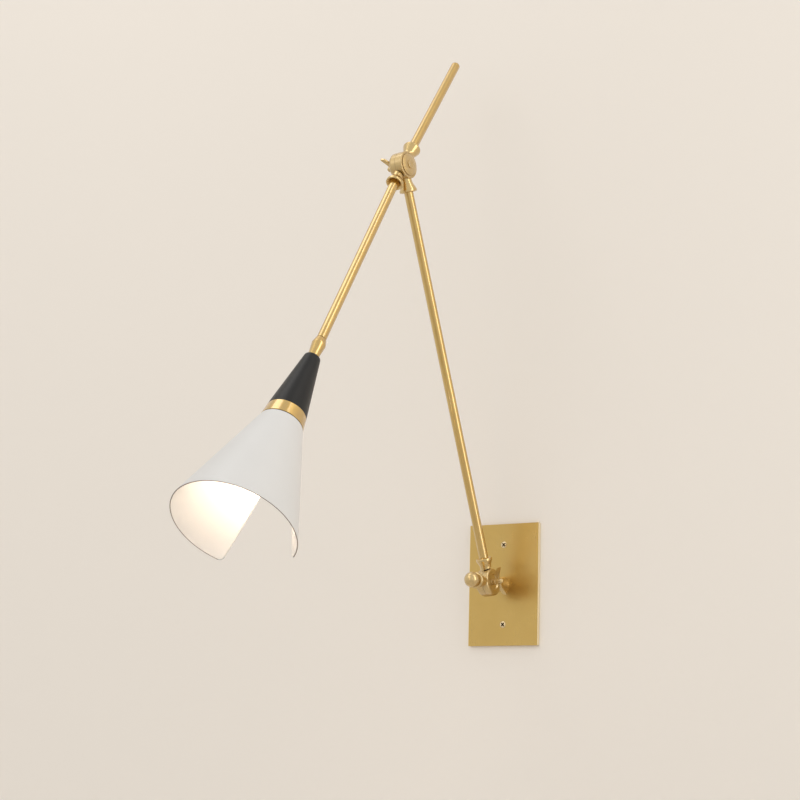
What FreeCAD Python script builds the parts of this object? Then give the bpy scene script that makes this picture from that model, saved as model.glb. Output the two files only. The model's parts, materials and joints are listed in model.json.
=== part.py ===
import FreeCAD, Part
import os
from math import acos, atan2, cos, hypot, pi, radians, sin, tan

# Articulated wall lamp, in millimetres.
# The origin is the middle of the wall plate's back face. +X is to the right
# seen from the room, -Y points into the room and +Z is up.
# A stem stands on the plate, a long arm pivots on the stem, a rod pivots on
# the arm's top, and the lamp head hangs on the rod's lower end.

Vector = FreeCAD.Vector
Placement = FreeCAD.Placement
Rotation = FreeCAD.Rotation
x_way = Vector(1, 0, 0)
y_way = Vector(0, 1, 0)
z_way = Vector(0, 0, 1)

# General clearances
overrun = 2.0            # how far a cut runs past the face that it opens
running_clearance = 0.1  # radial, between a shaft and the hole that it turns in
piece_clearance = 0.3    # between pieces that only pass each other
seat_clearance = 0.05    # radial, between a piece and the socket that holds it

# Pose in which the lamp hangs, in degrees
lamp_turn = 3.6          # whole lamp about the plate's normal, top to the left
arm_lean = 18.0          # arm from upright, into the room
rod_lean = 34.2          # rod from upright, lower end into the room
tail_cant = 2.4          # tail rod against the rod's line
shade_turn = 6.4         # shade about the rod, slit's middle off the lamp's own plane
base_wing_turn = 22.3    # wings of the base nut from upright
elbow_wing_turn = 57.0   # wings of the elbow nut from upright

# Wall plate and its screws
plate_width = 85.0
plate_height = 127.0
plate_thickness = 3.2
plate_corner = 1.0
plate_edge = 0.4
screw_spacing = 83.3
screw_radius = 2.0
screw_neck_radius = 1.6  # plain neck in the plate, where the thread ends
screw_head_radius = 3.5
screw_cone_height = 2.2
screw_crown = 0.4
screw_reach = 16.0       # shank behind the plate
cross_slot_length = 4.4
cross_slot_width = 1.2
cross_slot_depth = 1.6
cross_slot_turn = 45

# Stem tube through the plate, with its washer and nut
pivot_standoff = 30.5    # from the wall to the base pivot
stem_radius = 4.0
stem_bore_radius = 2.9
stem_reach = 11.0        # behind the plate
stem_grip = 12.0         # length inside the hub's neck
washer_radius = 8.5
washer_thickness = 1.2
nut_flats = 13.0
nut_height = 4.0

# Cable, the same in stem, arm and rod
cable_radius = 2.6
cable_tail = 9.0         # cable standing out of the stem behind the wall

# Joint drums. Each joint is two halves that meet on the middle plane.
drum_radius = 14.3
seam_gap = 0.2
neck_radius = 5.8
neck_gap = 1.0           # between a neck and the other half's rim
neck_offset = 0.5        # of a neck from the middle plane, towards its own half
neck_bore_radius = 2.9
boss_radius = 4.4
cavity_radius = 9.2
cavity_depth = 3.7
disc_inner_radius = 10.2
disc_outer_radius = 13.4
disc_recess = 0.5
back_depth = 9.0         # rounded halves
back_round = 3.9
base_rim_depth = 6.0     # rimmed half of the base joint
rim_recess = 1.2
rim_width = 6.2
rim_edge = 2.6
rim_inner_edge = 0.4
base_nut_seat = 7.4      # end of the boss that the base nut sits on, from the middle plane
base_nut_boss_radius = 2.9
face_depth = 7.8         # faced half of the elbow joint
face_edge = 0.9
face_groove_radius = 12.3
face_groove_width = 0.7
face_groove_depth = 0.5
face_crown = 1.9
face_round = 6.0
# Shoulder of the crowned face as shares of the groove's inner radius and of the crown
face_shoulder_shares = (0.74, 0.88)

# Clamp bolts and wing nuts
bolt_radius = 2.0
bolt_head_radius = 4.5
bolt_head_height = 1.0
bolt_dimple_radius = 2.6
bolt_dimple_depth = 0.6
bolt_short = 0.4         # bolt's end inside the nut's mouth
nut_boss_radius = 3.2
nut_boss_height = 1.0
nut_hub_radius = 2.7
nut_hub_height = 6.8
nut_tip_radius = 2.8     # round closed end of the nut
wing_reach = 15.4
wing_height = 10.6
wing_thickness = 1.8
wing_round = 1.6
# Wing outline as shares of the wing's reach and of its height above the seat
wing_low_root_shares = (0.10, 0.24)
wing_low_bend_shares = (0.60, 0.28)
wing_low_tip_shares = (0.90, 0.55)
wing_high_tip_shares = (1.00, 1.00)
wing_high_bend_shares = (0.40, 0.60)
wing_high_root_shares = (0.10, 0.56)

# Flared collars that hold the tubes
tube_radius = 4.7625
tube_wall = 1.0
lip_round = 0.9
flare_round = 7.0
mouth_wall = 1.1
mouth_depth = 2.6
base_collar_length = 25.8
base_lip_radius = 8.3
base_lip_height = 2.6
base_flare_height = 5.0
arm_collar_length = 27.4
arm_lip_radius = 9.1
arm_lip_height = 2.4
arm_flare_height = 7.5
rod_collar_length = 27.9
rod_lip_radius = 8.9
rod_lip_height = 2.6
rod_flare_height = 4.5
tail_collar_length = 30.0
tail_lip_radius = 9.2
tail_lip_height = 1.9
tail_flare_height = 9.5

# Plate end and finial end of the base hub
foot_radius = 8.1
foot_height = 1.6
foot_flare_height = 8.0
step_radius = 6.9
step_height = 2.4
finial_ring_radius = 8.3
finial_ring_height = 4.0
finial_ring_round = 1.7
finial_ring_start = 22.8  # from the base pivot
ball_radius = 7.9
ball_centre = 33.1       # from the base pivot
finial_stud_radius = 2.5
finial_stud_grip = 6.0

# Arm, rod and tail, measured from the pivots
arm_length = 437.5
rod_end = 253.6
tail_end = 181.0
tail_cap_height = 3.4
tail_cap_round = 2.6
tail_plug_length = 9.0

# Swivel at the rod's end
stud_plug_length = 12.0
stud_shoulder_height = 0.8
stud_radius = 3.4
stud_bore_radius = 2.4
swivel_groove = 1.0
swivel_nut_radius = 4.5
swivel_nut_height = 3.0
vase_length = 24.1
vase_top_radius = 5.4
vase_belly_radius = 6.95
vase_belly_drop = 6.4    # belly below the vase's top
vase_belly_round = 3.5
vase_foot_radius = 5.0
vase_neck_length = 8.8   # wall above the nut's room
vase_room_length = 6.3

# Nipple, cone and ring of the head
nipple_radius = 4.0
nipple_bore_radius = 3.0
nipple_grip = 8.0        # inside the vase
lead_radius = 1.3
cone_length = 72.5
cone_top_radius = 8.0
cone_foot_radius = 19.4
cone_edge = 1.5
cone_wall = 1.2
cone_top_wall = 2.4
cone_nut_flats = 11.0
cone_nut_height = 3.2
ring_height = 13.3
ring_foot_radius = 21.1
ring_wall = 1.3
ring_edge = 0.3
spigot_height = 5.0
spigot_wall = 1.0

# Shade, with the flange that the lampholder's ring nut holds
shade_gap = 0.6          # dark line between ring and shade
shade_length = 120.7
shade_rim_radius = 59.25
shade_wall = 1.0
flange_drop = 4.6        # flange below the ring's upper edge
flange_hole_radius = 13.0
slit_rim_half_width = 37.1
slit_tip_drop = 8.0      # round end of the slit below the shade's top
slit_tip_round = 2.8
slit_corner_round = 6.0

# Lampholder
holder_length = 44.0
holder_air = 0.45        # between the holder's top and the cone's wall
holder_base_height = 13.0
holder_nipple_grip = 10.0
holder_flange_radius = 15.2
holder_flange_height = 2.0
holder_skirt_radius = 12.4
holder_bore_radius = 8.6
holder_mouth_run = 9.4   # skirt below the flange
shade_nut_radius = 15.8
shade_nut_height = 5.0
shell_wall = 1.2
shell_height = 19.0
contact_radius = 2.5
contact_base_height = 2.0

# Bulb
bulb_cap_radius = 7.0
bulb_cap_height = 18.5
bulb_tip_radius = 4.5
bulb_tip_height = 1.8
bulb_contact_radius = 2.2
bulb_contact_height = 1.0
bulb_neck_radius = 10.0
bulb_globe_radius = 22.5
bulb_globe_drop = 35.0   # globe's centre below the cap's end
bulb_glass_wall = 1.0

parts = {}


def rounded_wire(points):
    """Closed wire through (a, b, rounding) points in the XZ plane, each corner an arc of its rounding."""
    spots = [(Vector(p[0], 0, p[1]), p[2] if len(p) > 2 else 0) for p in points]
    ends = []
    for i, (here, rounding) in enumerate(spots):
        before = spots[i - 1][0] - here
        after = spots[(i + 1) % len(spots)][0] - here
        if rounding == 0:
            ends.append((here, None, here))
            continue
        half_turn = before.getAngle(after) / 2
        reach = rounding / tan(half_turn)
        before.normalize()
        after.normalize()
        inward = before + after
        inward.normalize()
        middle = here + inward * (rounding / sin(half_turn) - rounding)
        ends.append((here + before * reach, middle, here + after * reach))
    edges = []
    for i, (start, middle, end) in enumerate(ends):
        if middle is not None:
            edges.append(Part.Arc(start, middle, end).toShape())
        following = ends[(i + 1) % len(ends)][0]
        if end.distanceToPoint(following) > Part.Precision.confusion():
            edges.append(Part.LineSegment(end, following).toShape())
    return Part.Wire(edges)


def turned(points):
    """Solid turned about the Z axis from (radius, height, rounding) points."""
    return Part.Face(rounded_wire(points)).revolve(Vector(0, 0, 0), z_way, 360)


def rod(radius, low, high):
    """Round bar on the Z axis."""
    return Part.makeCylinder(radius, high - low, Vector(0, 0, low))


def tube(radius, bore, low, high):
    """Round tube on the Z axis."""
    return rod(radius, low, high).cut(rod(bore, low - overrun, high + overrun))


def slab(points, thickness):
    """Flat plate of an outline in the XZ plane, centred on that plane."""
    face = Part.Face(rounded_wire(points))
    solid = face.extrude(Vector(0, thickness, 0))
    solid.translate(Vector(0, -thickness / 2, 0))
    return solid


def hexagon(flats, low, high, bore):
    """Six-sided nut on the Z axis."""
    corner = flats / 2 / cos(radians(30))
    spots = [Vector(corner * cos(pi * i / 3), corner * sin(pi * i / 3), low) for i in range(7)]
    nut = Part.Face(Part.makePolygon(spots)).extrude(Vector(0, 0, high - low))
    return nut.cut(rod(bore, low - overrun, high + overrun))


def turn_about_x(angle):
    """Placement that tilts the Z axis by an angle towards -Y."""
    return Placement(Vector(0, 0, 0), Rotation(x_way, angle))


def moved(shape, place):
    """Copy of a shape in another place."""
    copy = shape.copy()
    copy.Placement = place.multiply(copy.Placement)
    return copy


def along_x(shape):
    """Copy of a shape with its Z axis laid on +X."""
    return moved(shape, Placement(Vector(0, 0, 0), Rotation(y_way, 90)))


def along_minus_x(shape):
    """Copy of a shape with its Z axis laid on -X."""
    return moved(shape, Placement(Vector(0, 0, 0), Rotation(y_way, -90)))


def keep(name, shape, place):
    """Stores a finished piece under its node's name, in the lamp's own frame."""
    parts[name] = moved(shape, place)


# Places of the pieces: each frame has the pivot at its origin
wall_place = Placement()
stem_turn = Placement(Vector(0, 0, 0), Rotation(y_way, -lamp_turn))
stem_place = stem_turn.multiply(Placement(Vector(0, -pivot_standoff, 0), Rotation()))
to_wall = turn_about_x(-90)
to_room = turn_about_x(90)
arm_place = stem_place.multiply(turn_about_x(arm_lean))
arm_line = arm_place.multiply(Placement(Vector(-neck_offset, 0, 0), Rotation()))
arm_top = Placement(Vector(-neck_offset * 2, 0, arm_length), Rotation())
elbow_place = arm_place.multiply(arm_top).multiply(turn_about_x(-arm_lean))
left = Placement(Vector(-neck_offset, 0, 0), Rotation())
right = Placement(Vector(neck_offset, 0, 0), Rotation())
rod_way = left.multiply(turn_about_x(180 - rod_lean))
tail_way = turn_about_x(-rod_lean - tail_cant)
rod_place = elbow_place.multiply(rod_way)
tail_place = elbow_place.multiply(tail_way)

# Sizes that follow from the ones above
plate_front = pivot_standoff - plate_thickness
tube_bore = tube_radius - tube_wall
socket_radius = tube_radius + seat_clearance
bolt_hole_radius = bolt_radius + running_clearance
half_seam = seam_gap / 2
socket_start = drum_radius + neck_gap + piece_clearance
neck_start = cavity_radius - overrun
cable_start = drum_radius + piece_clearance
vase_top = rod_end + stud_shoulder_height + swivel_groove
cone_top = vase_top + vase_length
cone_slope = (cone_foot_radius - cone_top_radius) / cone_length
ring_top = cone_top + cone_length
ring_slope = (ring_foot_radius - cone_foot_radius) / ring_height
shade_top = ring_top + ring_height + shade_gap
shade_slope = (shade_rim_radius - ring_foot_radius) / shade_length
holder_mouth = ring_top + flange_drop + holder_mouth_run
holder_top = holder_mouth - holder_length
inside_wall = cone_wall * hypot(1, cone_slope)


def collar(length, lip_radius, lip_height, flare_height):
    """Neck and flared collar on the Z axis: solid neck, bell, lip and hollow mouth, bored for its tube."""
    lip_start = length - lip_height
    return turned([
        (0, neck_start),
        (neck_radius, neck_start),
        (neck_radius, lip_start - flare_height, flare_round),
        (lip_radius, lip_start, lip_round),
        (lip_radius, length, lip_round),
        (lip_radius - mouth_wall, length),
        (socket_radius, length - mouth_depth),
        (socket_radius, socket_start),
        (0, socket_start),
    ])


def half_drum(outside_points):
    """Solid half of a joint drum, from the seam outwards along +Z."""
    return turned([(0, half_seam), (drum_radius, half_seam)] + outside_points)


def rounded_half():
    """Half with a rounded back."""
    return half_drum([(drum_radius, back_depth, back_round), (0, back_depth)])


def rimmed_half():
    """Half with a raised rim round a recessed face, and a boss for the nut in its middle."""
    floor = base_rim_depth - rim_recess
    rim_inside = drum_radius - rim_width
    return half_drum([
        (drum_radius, base_rim_depth, rim_edge),
        (rim_inside, base_rim_depth, rim_inner_edge),
        (rim_inside - rim_recess, floor),
        (base_nut_boss_radius, floor),
        (base_nut_boss_radius, base_nut_seat),
        (0, base_nut_seat),
    ])


def faced_half():
    """Half with a groove inside its rim and a low crowned disc in it."""
    groove_floor = face_depth - face_groove_depth
    groove_inside = face_groove_radius - face_groove_width
    shoulder_share, rise_share = face_shoulder_shares
    shoulder = (groove_inside * shoulder_share, face_depth + face_crown * rise_share, face_round)
    return half_drum([
        (drum_radius, face_depth, face_edge),
        (face_groove_radius, face_depth),
        (face_groove_radius, groove_floor),
        (groove_inside, groove_floor),
        (groove_inside, face_depth + face_crown / 3, face_crown / 4),
        shoulder,
        (bolt_head_radius, face_depth + face_crown),
        (0, face_depth + face_crown),
    ])


def joint_half(half, side, necks, bores):
    """Half drum laid on its side of the pivot, with necks clear of the other half, then hollowed."""
    laid = along_x if side > 0 else along_minus_x
    opposite = along_minus_x if side > 0 else along_x
    body = laid(half)
    other_half = opposite(rod(drum_radius + neck_gap, -half_seam, drum_radius))
    for shape, place in necks:
        body = body.fuse(moved(shape, place).cut(other_half).cut(body))
    wire_room = tube(cavity_radius, boss_radius, -overrun, cavity_depth)
    bolt_way = rod(bolt_hole_radius, -drum_radius, drum_radius)
    disc_room = tube(disc_outer_radius, disc_inner_radius, -overrun, half_seam + disc_recess)
    for shape in (wire_room, bolt_way, disc_room):
        body = body.cut(laid(shape))
    for place in bores:
        body = body.cut(moved(rod(neck_bore_radius, neck_start - overrun, socket_start + overrun), place))
    return body.removeSplitter()


def make_wall_plate():
    """Flat plate with a hole for the stem and two countersunk screw holes, and its screws."""
    half_width = plate_width / 2
    half_height = plate_height / 2
    plate = slab([
        (half_width, half_height, plate_corner),
        (half_width, -half_height, plate_corner),
        (-half_width, -half_height, plate_corner),
        (-half_width, half_height, plate_corner),
    ], plate_thickness)
    plate.translate(Vector(0, -plate_thickness / 2, 0))
    front = [e for e in plate.Edges if e.BoundBox.YMax < -plate_thickness + plate_edge]
    plate = plate.makeChamfer(plate_edge, front)
    stem_hole = rod(stem_radius + running_clearance, -overrun, plate_thickness + overrun)
    plate = plate.cut(moved(stem_hole, to_room))

    cone_start = plate_thickness - screw_cone_height
    shank = turned([
        (0, -screw_reach),
        (screw_radius, -screw_reach, screw_radius / 3),
        (screw_radius, 0),
        (screw_neck_radius, 0),
        (screw_neck_radius, cone_start),
        (screw_head_radius, plate_thickness),
        (screw_head_radius / 2, plate_thickness + screw_crown * 3 / 4, screw_head_radius),
        (0, plate_thickness + screw_crown),
    ])
    deep = plate_thickness + screw_crown - cross_slot_depth
    for angle in (0, 90):
        slot = Part.makeBox(cross_slot_length, cross_slot_width, cross_slot_depth + overrun)
        slot.translate(Vector(-cross_slot_length / 2, -cross_slot_width / 2, deep))
        slot.rotate(Vector(0, 0, 0), z_way, angle + cross_slot_turn)
        shank = shank.cut(slot)
    sink = turned([
        (0, -overrun),
        (screw_radius + seat_clearance, -overrun),
        (screw_radius + seat_clearance, cone_start),
        (screw_head_radius + seat_clearance, plate_thickness),
        (screw_head_radius + seat_clearance, plate_thickness + overrun),
        (0, plate_thickness + overrun),
    ])
    screws = []
    for height in (screw_spacing / 2, -screw_spacing / 2):
        place = Placement(Vector(0, 0, height), Rotation()).multiply(to_room)
        plate = plate.cut(moved(sink, place))
        screws.append(moved(shank, place))
    keep("backplate", plate, wall_place)
    keep("plate_screws", Part.makeCompound(screws), wall_place)


def make_stem():
    """Hub that stands on the plate, the tube, washer and nut that hold it there, and the finial."""
    foot = turned([
        (0, neck_start),
        (neck_radius, neck_start),
        (neck_radius, plate_front - foot_height - foot_flare_height, flare_round),
        (foot_radius, plate_front - foot_height, lip_round),
        (foot_radius, plate_front),
        (0, plate_front),
    ])
    stem_start = plate_front - stem_grip
    step_start = finial_ring_start - step_height
    nose = turned([
        (0, neck_start),
        (neck_radius, neck_start),
        (neck_radius, step_start),
        (step_radius, step_start, step_height / 3),
        (step_radius, finial_ring_start, step_height / 3),
        (0, finial_ring_start),
    ])
    stud_start = finial_ring_start - finial_stud_grip
    necks = [(foot, to_wall), (nose, to_room)]
    hub = joint_half(rimmed_half(), 1, necks, [to_wall])
    stem_socket = rod(stem_radius + seat_clearance, stem_start, plate_front + overrun)
    stud_socket = rod(finial_stud_radius + seat_clearance, stud_start, finial_ring_start + overrun)
    keep("base_hub", hub.cut(moved(stem_socket, to_wall)).cut(moved(stud_socket, to_room)), stem_place)

    wall_face = pivot_standoff
    tube_place = stem_place.multiply(to_wall)
    stem_end = wall_face + stem_reach
    keep("stem_tube", tube(stem_radius, stem_bore_radius, stem_start, stem_end), tube_place)
    washer_end = wall_face + washer_thickness
    washer = tube(washer_radius, stem_radius + seat_clearance, wall_face, washer_end)
    keep("stem_washer", washer, tube_place)
    nut = hexagon(nut_flats, washer_end, washer_end + nut_height, stem_radius + seat_clearance)
    keep("stem_locknut", nut, tube_place)
    keep("stem_cable", rod(cable_radius, cable_start, stem_end + cable_tail), tube_place)

    ring_end = finial_ring_start + finial_ring_height
    ring = turned([
        (finial_stud_radius + seat_clearance, finial_ring_start),
        (finial_ring_radius, finial_ring_start, finial_ring_round),
        (finial_ring_radius, ring_end, finial_ring_round),
        (finial_stud_radius + seat_clearance, ring_end),
    ])
    keep("finial_ring", ring, stem_place.multiply(to_room))
    ball = Part.makeSphere(ball_radius, Vector(0, 0, ball_centre))
    ball = ball.cut(rod(ball_radius + overrun, ball_centre - ball_radius - overrun, ring_end))
    ball = ball.fuse(rod(finial_stud_radius, stud_start, ball_centre)).removeSplitter()
    keep("ball_finial", ball, stem_place.multiply(to_room))


def clamp_bolt(seat, end):
    """Bolt on the Z axis with a dimpled round head outside its seat and a plain shank down to its end."""
    head_top = seat + bolt_head_height
    return turned([
        (0, end),
        (bolt_radius, end, bolt_radius / 4),
        (bolt_radius, seat),
        (bolt_head_radius, seat),
        (bolt_head_radius, head_top, bolt_head_height / 2),
        (bolt_dimple_radius, head_top),
        (0, head_top - bolt_dimple_depth),
    ])


def wing_nut():
    """Wing nut on the Z axis, seated at zero, with a round closed end and its wings along X."""
    body = turned([
        (0, 0),
        (nut_boss_radius, 0),
        (nut_boss_radius, nut_boss_height, nut_boss_height / 3),
        (nut_hub_radius, nut_boss_height + nut_boss_height / 2),
        (nut_hub_radius, nut_hub_height),
        (0, nut_hub_height),
    ])
    body = body.fuse(Part.makeSphere(nut_tip_radius, Vector(0, 0, nut_hub_height)))

    def spot(shares, rounding):
        return (wing_reach * shares[0], wing_height * shares[1], rounding)

    for side in (1, -1):
        wing = slab([
            spot(wing_low_root_shares, 0),
            spot(wing_low_bend_shares, wing_round),
            spot(wing_low_tip_shares, wing_round),
            spot(wing_high_tip_shares, wing_round / 2),
            spot(wing_high_bend_shares, wing_round),
            spot(wing_high_root_shares, 0),
        ], wing_thickness)
        if side < 0:
            wing.rotate(Vector(0, 0, 0), z_way, 180)
        body = body.fuse(wing)
    return body.cut(rod(bolt_hole_radius, -overrun, nut_hub_height)).removeSplitter()


def friction_disc():
    """Flat ring in the facing recesses of two half drums."""
    half = half_seam + disc_recess - seat_clearance / 2
    return tube(disc_outer_radius - seat_clearance, disc_inner_radius + seat_clearance, -half, half)


def make_arm():
    """Arm tube with the base joint's rounded half at its foot and the elbow's faced half at its top."""
    base_collar = collar(base_collar_length, base_lip_radius, base_lip_height, base_flare_height)
    knuckle = joint_half(rounded_half(), -1, [(base_collar, left)], [left])
    keep("arm_knuckle", knuckle, arm_place)

    down = right.multiply(turn_about_x(180))
    top_collar = collar(arm_collar_length, arm_lip_radius, arm_lip_height, arm_flare_height)
    cup = joint_half(faced_half(), 1, [(top_collar, down)], [down])
    keep("elbow_cup", cup, arm_place.multiply(arm_top))

    arm_end = arm_length - socket_start
    keep("arm_tube", tube(tube_radius, tube_bore, socket_start, arm_end), arm_line)
    keep("arm_cable", rod(cable_radius, cable_start, arm_length - cable_start), arm_line)


def make_clamps():
    """Bolt, wing nut and friction disc of each joint."""
    base_bolt = clamp_bolt(back_depth, -base_nut_seat - nut_hub_height + bolt_short)
    keep("base_clamp_bolt", along_minus_x(base_bolt), arm_place)
    keep("base_friction_disc", along_x(friction_disc()), arm_place)
    nut_turn = stem_place.multiply(turn_about_x(base_wing_turn))
    out = Placement(Vector(base_nut_seat, 0, 0), Rotation(y_way, 90))
    keep("base_wing_nut", wing_nut(), nut_turn.multiply(out))

    elbow_bolt = clamp_bolt(face_depth + face_crown, -back_depth - nut_hub_height + bolt_short)
    elbow_arm = arm_place.multiply(arm_top)
    keep("elbow_clamp_bolt", along_x(elbow_bolt), elbow_arm)
    keep("elbow_friction_disc", along_x(friction_disc()), elbow_arm)
    nut_turn = elbow_place.multiply(turn_about_x(elbow_wing_turn))
    out = Placement(Vector(-back_depth, 0, 0), Rotation(y_way, -90))
    keep("elbow_wing_nut", wing_nut(), nut_turn.multiply(out))


def make_rod():
    """Elbow's rounded half with both collars, the lamp rod below it and the tail rod above it."""
    rod_collar = collar(rod_collar_length, rod_lip_radius, rod_lip_height, rod_flare_height)
    tail_collar = collar(tail_collar_length, tail_lip_radius, tail_lip_height, tail_flare_height)
    necks = [(rod_collar, rod_way), (tail_collar, tail_way)]
    keep("elbow_hub", joint_half(rounded_half(), -1, necks, [rod_way]), elbow_place)

    keep("rod_tube", tube(tube_radius, tube_bore, socket_start, rod_end), rod_place)
    plug_start = rod_end - stud_plug_length
    keep("rod_cable", rod(cable_radius, cable_start, plug_start - piece_clearance), rod_place)

    cap_start = tail_end - tail_cap_height
    keep("tail_rod", tube(tube_radius, tube_bore, socket_start, cap_start), tail_place)
    cap = turned([
        (0, cap_start - tail_plug_length),
        (tube_bore - seat_clearance, cap_start - tail_plug_length, tube_wall / 2),
        (tube_bore - seat_clearance, cap_start),
        (tube_radius, cap_start),
        (tube_radius, tail_end, tail_cap_round),
        (0, tail_end),
    ])
    keep("tail_end_cap", cap, tail_place)


def make_swivel():
    """Stud in the rod's end, its round nut, and the vase that turns on it."""
    shoulder_end = rod_end + stud_shoulder_height
    nut_end = vase_top + vase_neck_length + piece_clearance + swivel_nut_height
    stud = turned([
        (stud_bore_radius, rod_end - stud_plug_length),
        (tube_bore - seat_clearance, rod_end - stud_plug_length),
        (tube_bore - seat_clearance, rod_end),
        (tube_radius, rod_end),
        (tube_radius, shoulder_end),
        (stud_radius, shoulder_end),
        (stud_radius, nut_end),
        (stud_bore_radius, nut_end),
    ])
    keep("swivel_stud", stud, rod_place)
    nut_start = nut_end - swivel_nut_height
    keep("swivel_nut", tube(swivel_nut_radius, stud_radius + seat_clearance, nut_start, nut_end), rod_place)

    room_start = vase_top + vase_neck_length
    room_end = room_start + vase_room_length
    room_radius = swivel_nut_radius + piece_clearance
    vase = turned([
        (stud_radius + running_clearance, vase_top),
        (vase_top_radius, vase_top, tube_wall / 3),
        (vase_belly_radius, vase_top + vase_belly_drop, vase_belly_round),
        (vase_foot_radius, cone_top),
        (nipple_radius + seat_clearance, cone_top),
        (nipple_radius + seat_clearance, room_end),
        (room_radius, room_end),
        (room_radius, room_start),
        (stud_radius + running_clearance, room_start),
    ])
    keep("swivel_vase", vase, rod_place)


def cone_radius_at(distance):
    """Outer radius of the black cone, distance measured from the elbow pivot."""
    return cone_top_radius + cone_slope * (distance - cone_top)


def make_neck():
    """Black cone, the nipple and nut that hold it, and the brass ring on its foot."""
    nipple_start = cone_top - nipple_grip
    nipple_end = holder_top + holder_nipple_grip
    keep("head_nipple", tube(nipple_radius, nipple_bore_radius, nipple_start, nipple_end), rod_place)
    lead_end = holder_top + holder_base_height - piece_clearance
    leads = []
    for side in (1, -1):
        lead = rod(lead_radius, nipple_start + piece_clearance, lead_end)
        lead.translate(Vector(side * (lead_radius + piece_clearance / 2), 0, 0))
        leads.append(lead)
    keep("head_leads", Part.makeCompound(leads), rod_place)

    inner_top = cone_top + cone_top_wall
    cone = turned([
        (nipple_radius + seat_clearance, cone_top),
        (cone_top_radius, cone_top, cone_edge),
        (cone_foot_radius, ring_top),
        (cone_foot_radius - inside_wall, ring_top),
        (cone_radius_at(inner_top) - inside_wall, inner_top),
        (nipple_radius + seat_clearance, inner_top),
    ])
    keep("neck_cone", cone, rod_place)
    nut_end = inner_top + cone_nut_height
    locknut = hexagon(cone_nut_flats, inner_top, nut_end, nipple_radius + seat_clearance)
    keep("cone_locknut", locknut, rod_place)

    spigot_out = cone_foot_radius - inside_wall - seat_clearance
    spigot_top = ring_top - spigot_height
    spigot_top_out = spigot_out - cone_slope * spigot_height
    ring = turned([
        (spigot_out, ring_top),
        (cone_foot_radius, ring_top, ring_edge),
        (ring_foot_radius, ring_top + ring_height, ring_edge),
        (ring_foot_radius - ring_wall, ring_top + ring_height),
        (cone_foot_radius - ring_wall - spigot_wall, ring_top),
        (spigot_top_out - spigot_wall, spigot_top),
        (spigot_top_out, spigot_top),
    ])
    keep("shade_ring", ring, rod_place)


def make_shade():
    """White conical shade with its fitter flange and the slit on the side of the wall."""
    flange_start = ring_top + flange_drop
    collar_end = ring_top + ring_height
    rim = shade_top + shade_length
    sheet = shade_wall * hypot(1, shade_slope)
    inner_ring = cone_foot_radius - ring_wall - piece_clearance
    collar_start_out = inner_ring + ring_slope * flange_drop - spigot_wall
    collar_end_out = inner_ring + ring_slope * ring_height - spigot_wall / 2
    shade = turned([
        (flange_hole_radius, flange_start),
        (collar_start_out, flange_start, shade_wall),
        (collar_end_out, collar_end),
        (collar_end_out, shade_top),
        (ring_foot_radius, shade_top, shade_wall / 3),
        (shade_rim_radius, rim, shade_wall / 3),
        (shade_rim_radius - sheet, rim, shade_wall / 3),
        (ring_foot_radius - sheet + shade_slope * shade_wall, shade_top + shade_wall),
        (collar_end_out - shade_wall, shade_top + shade_wall),
        (collar_start_out - shade_wall, flange_start + shade_wall),
        (flange_hole_radius, flange_start + shade_wall),
    ])
    tip = shade_top + slit_tip_drop
    past_rim = rim + overrun
    side = shade_rim_radius + overrun
    slit = slab([
        (slit_tip_round, tip, slit_tip_round * 0.9),
        (slit_rim_half_width, rim, slit_corner_round),
        (side, rim),
        (side, past_rim),
        (-side, past_rim),
        (-side, rim),
        (-slit_rim_half_width, rim, slit_corner_round),
        (-slit_tip_round, tip, slit_tip_round * 0.9),
    ], side)
    slit.translate(Vector(0, -side / 2, 0))
    turn = Placement(Vector(0, 0, 0), Rotation(z_way, -shade_turn))
    keep("shade", shade.cut(slit), rod_place.multiply(turn))


def make_lampholder():
    """Lampholder on the nipple, with its shell, contact and the ring nut under the shade's flange."""
    flange_end = ring_top + flange_drop
    flange_start = flange_end - holder_flange_height
    floor = holder_top + holder_base_height
    holder_radius = cone_radius_at(holder_top) - inside_wall - holder_air
    nipple_hole = nipple_radius + seat_clearance
    body = turned([
        (nipple_hole, holder_top),
        (holder_radius, holder_top, holder_flange_height),
        (holder_radius, flange_start),
        (holder_flange_radius, flange_start, holder_flange_height / 3),
        (holder_flange_radius, flange_end),
        (holder_skirt_radius, flange_end),
        (holder_skirt_radius, holder_mouth, holder_flange_height / 3),
        (holder_bore_radius, holder_mouth),
        (holder_bore_radius, floor),
        (nipple_hole, floor),
    ])
    keep("lampholder", body, rod_place)
    nut_start = flange_end + shade_wall
    nut = turned([
        (holder_skirt_radius + running_clearance, nut_start),
        (shade_nut_radius, nut_start),
        (shade_nut_radius, nut_start + shade_nut_height, holder_flange_height / 2),
        (holder_skirt_radius + running_clearance, nut_start + shade_nut_height),
    ])
    keep("shade_nut", nut, rod_place)
    shell_end = holder_mouth - holder_flange_height
    shell_radius = holder_bore_radius - seat_clearance
    shell = tube(shell_radius, shell_radius - shell_wall, shell_end - shell_height, shell_end)
    keep("holder_shell", shell, rod_place)
    return floor


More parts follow.
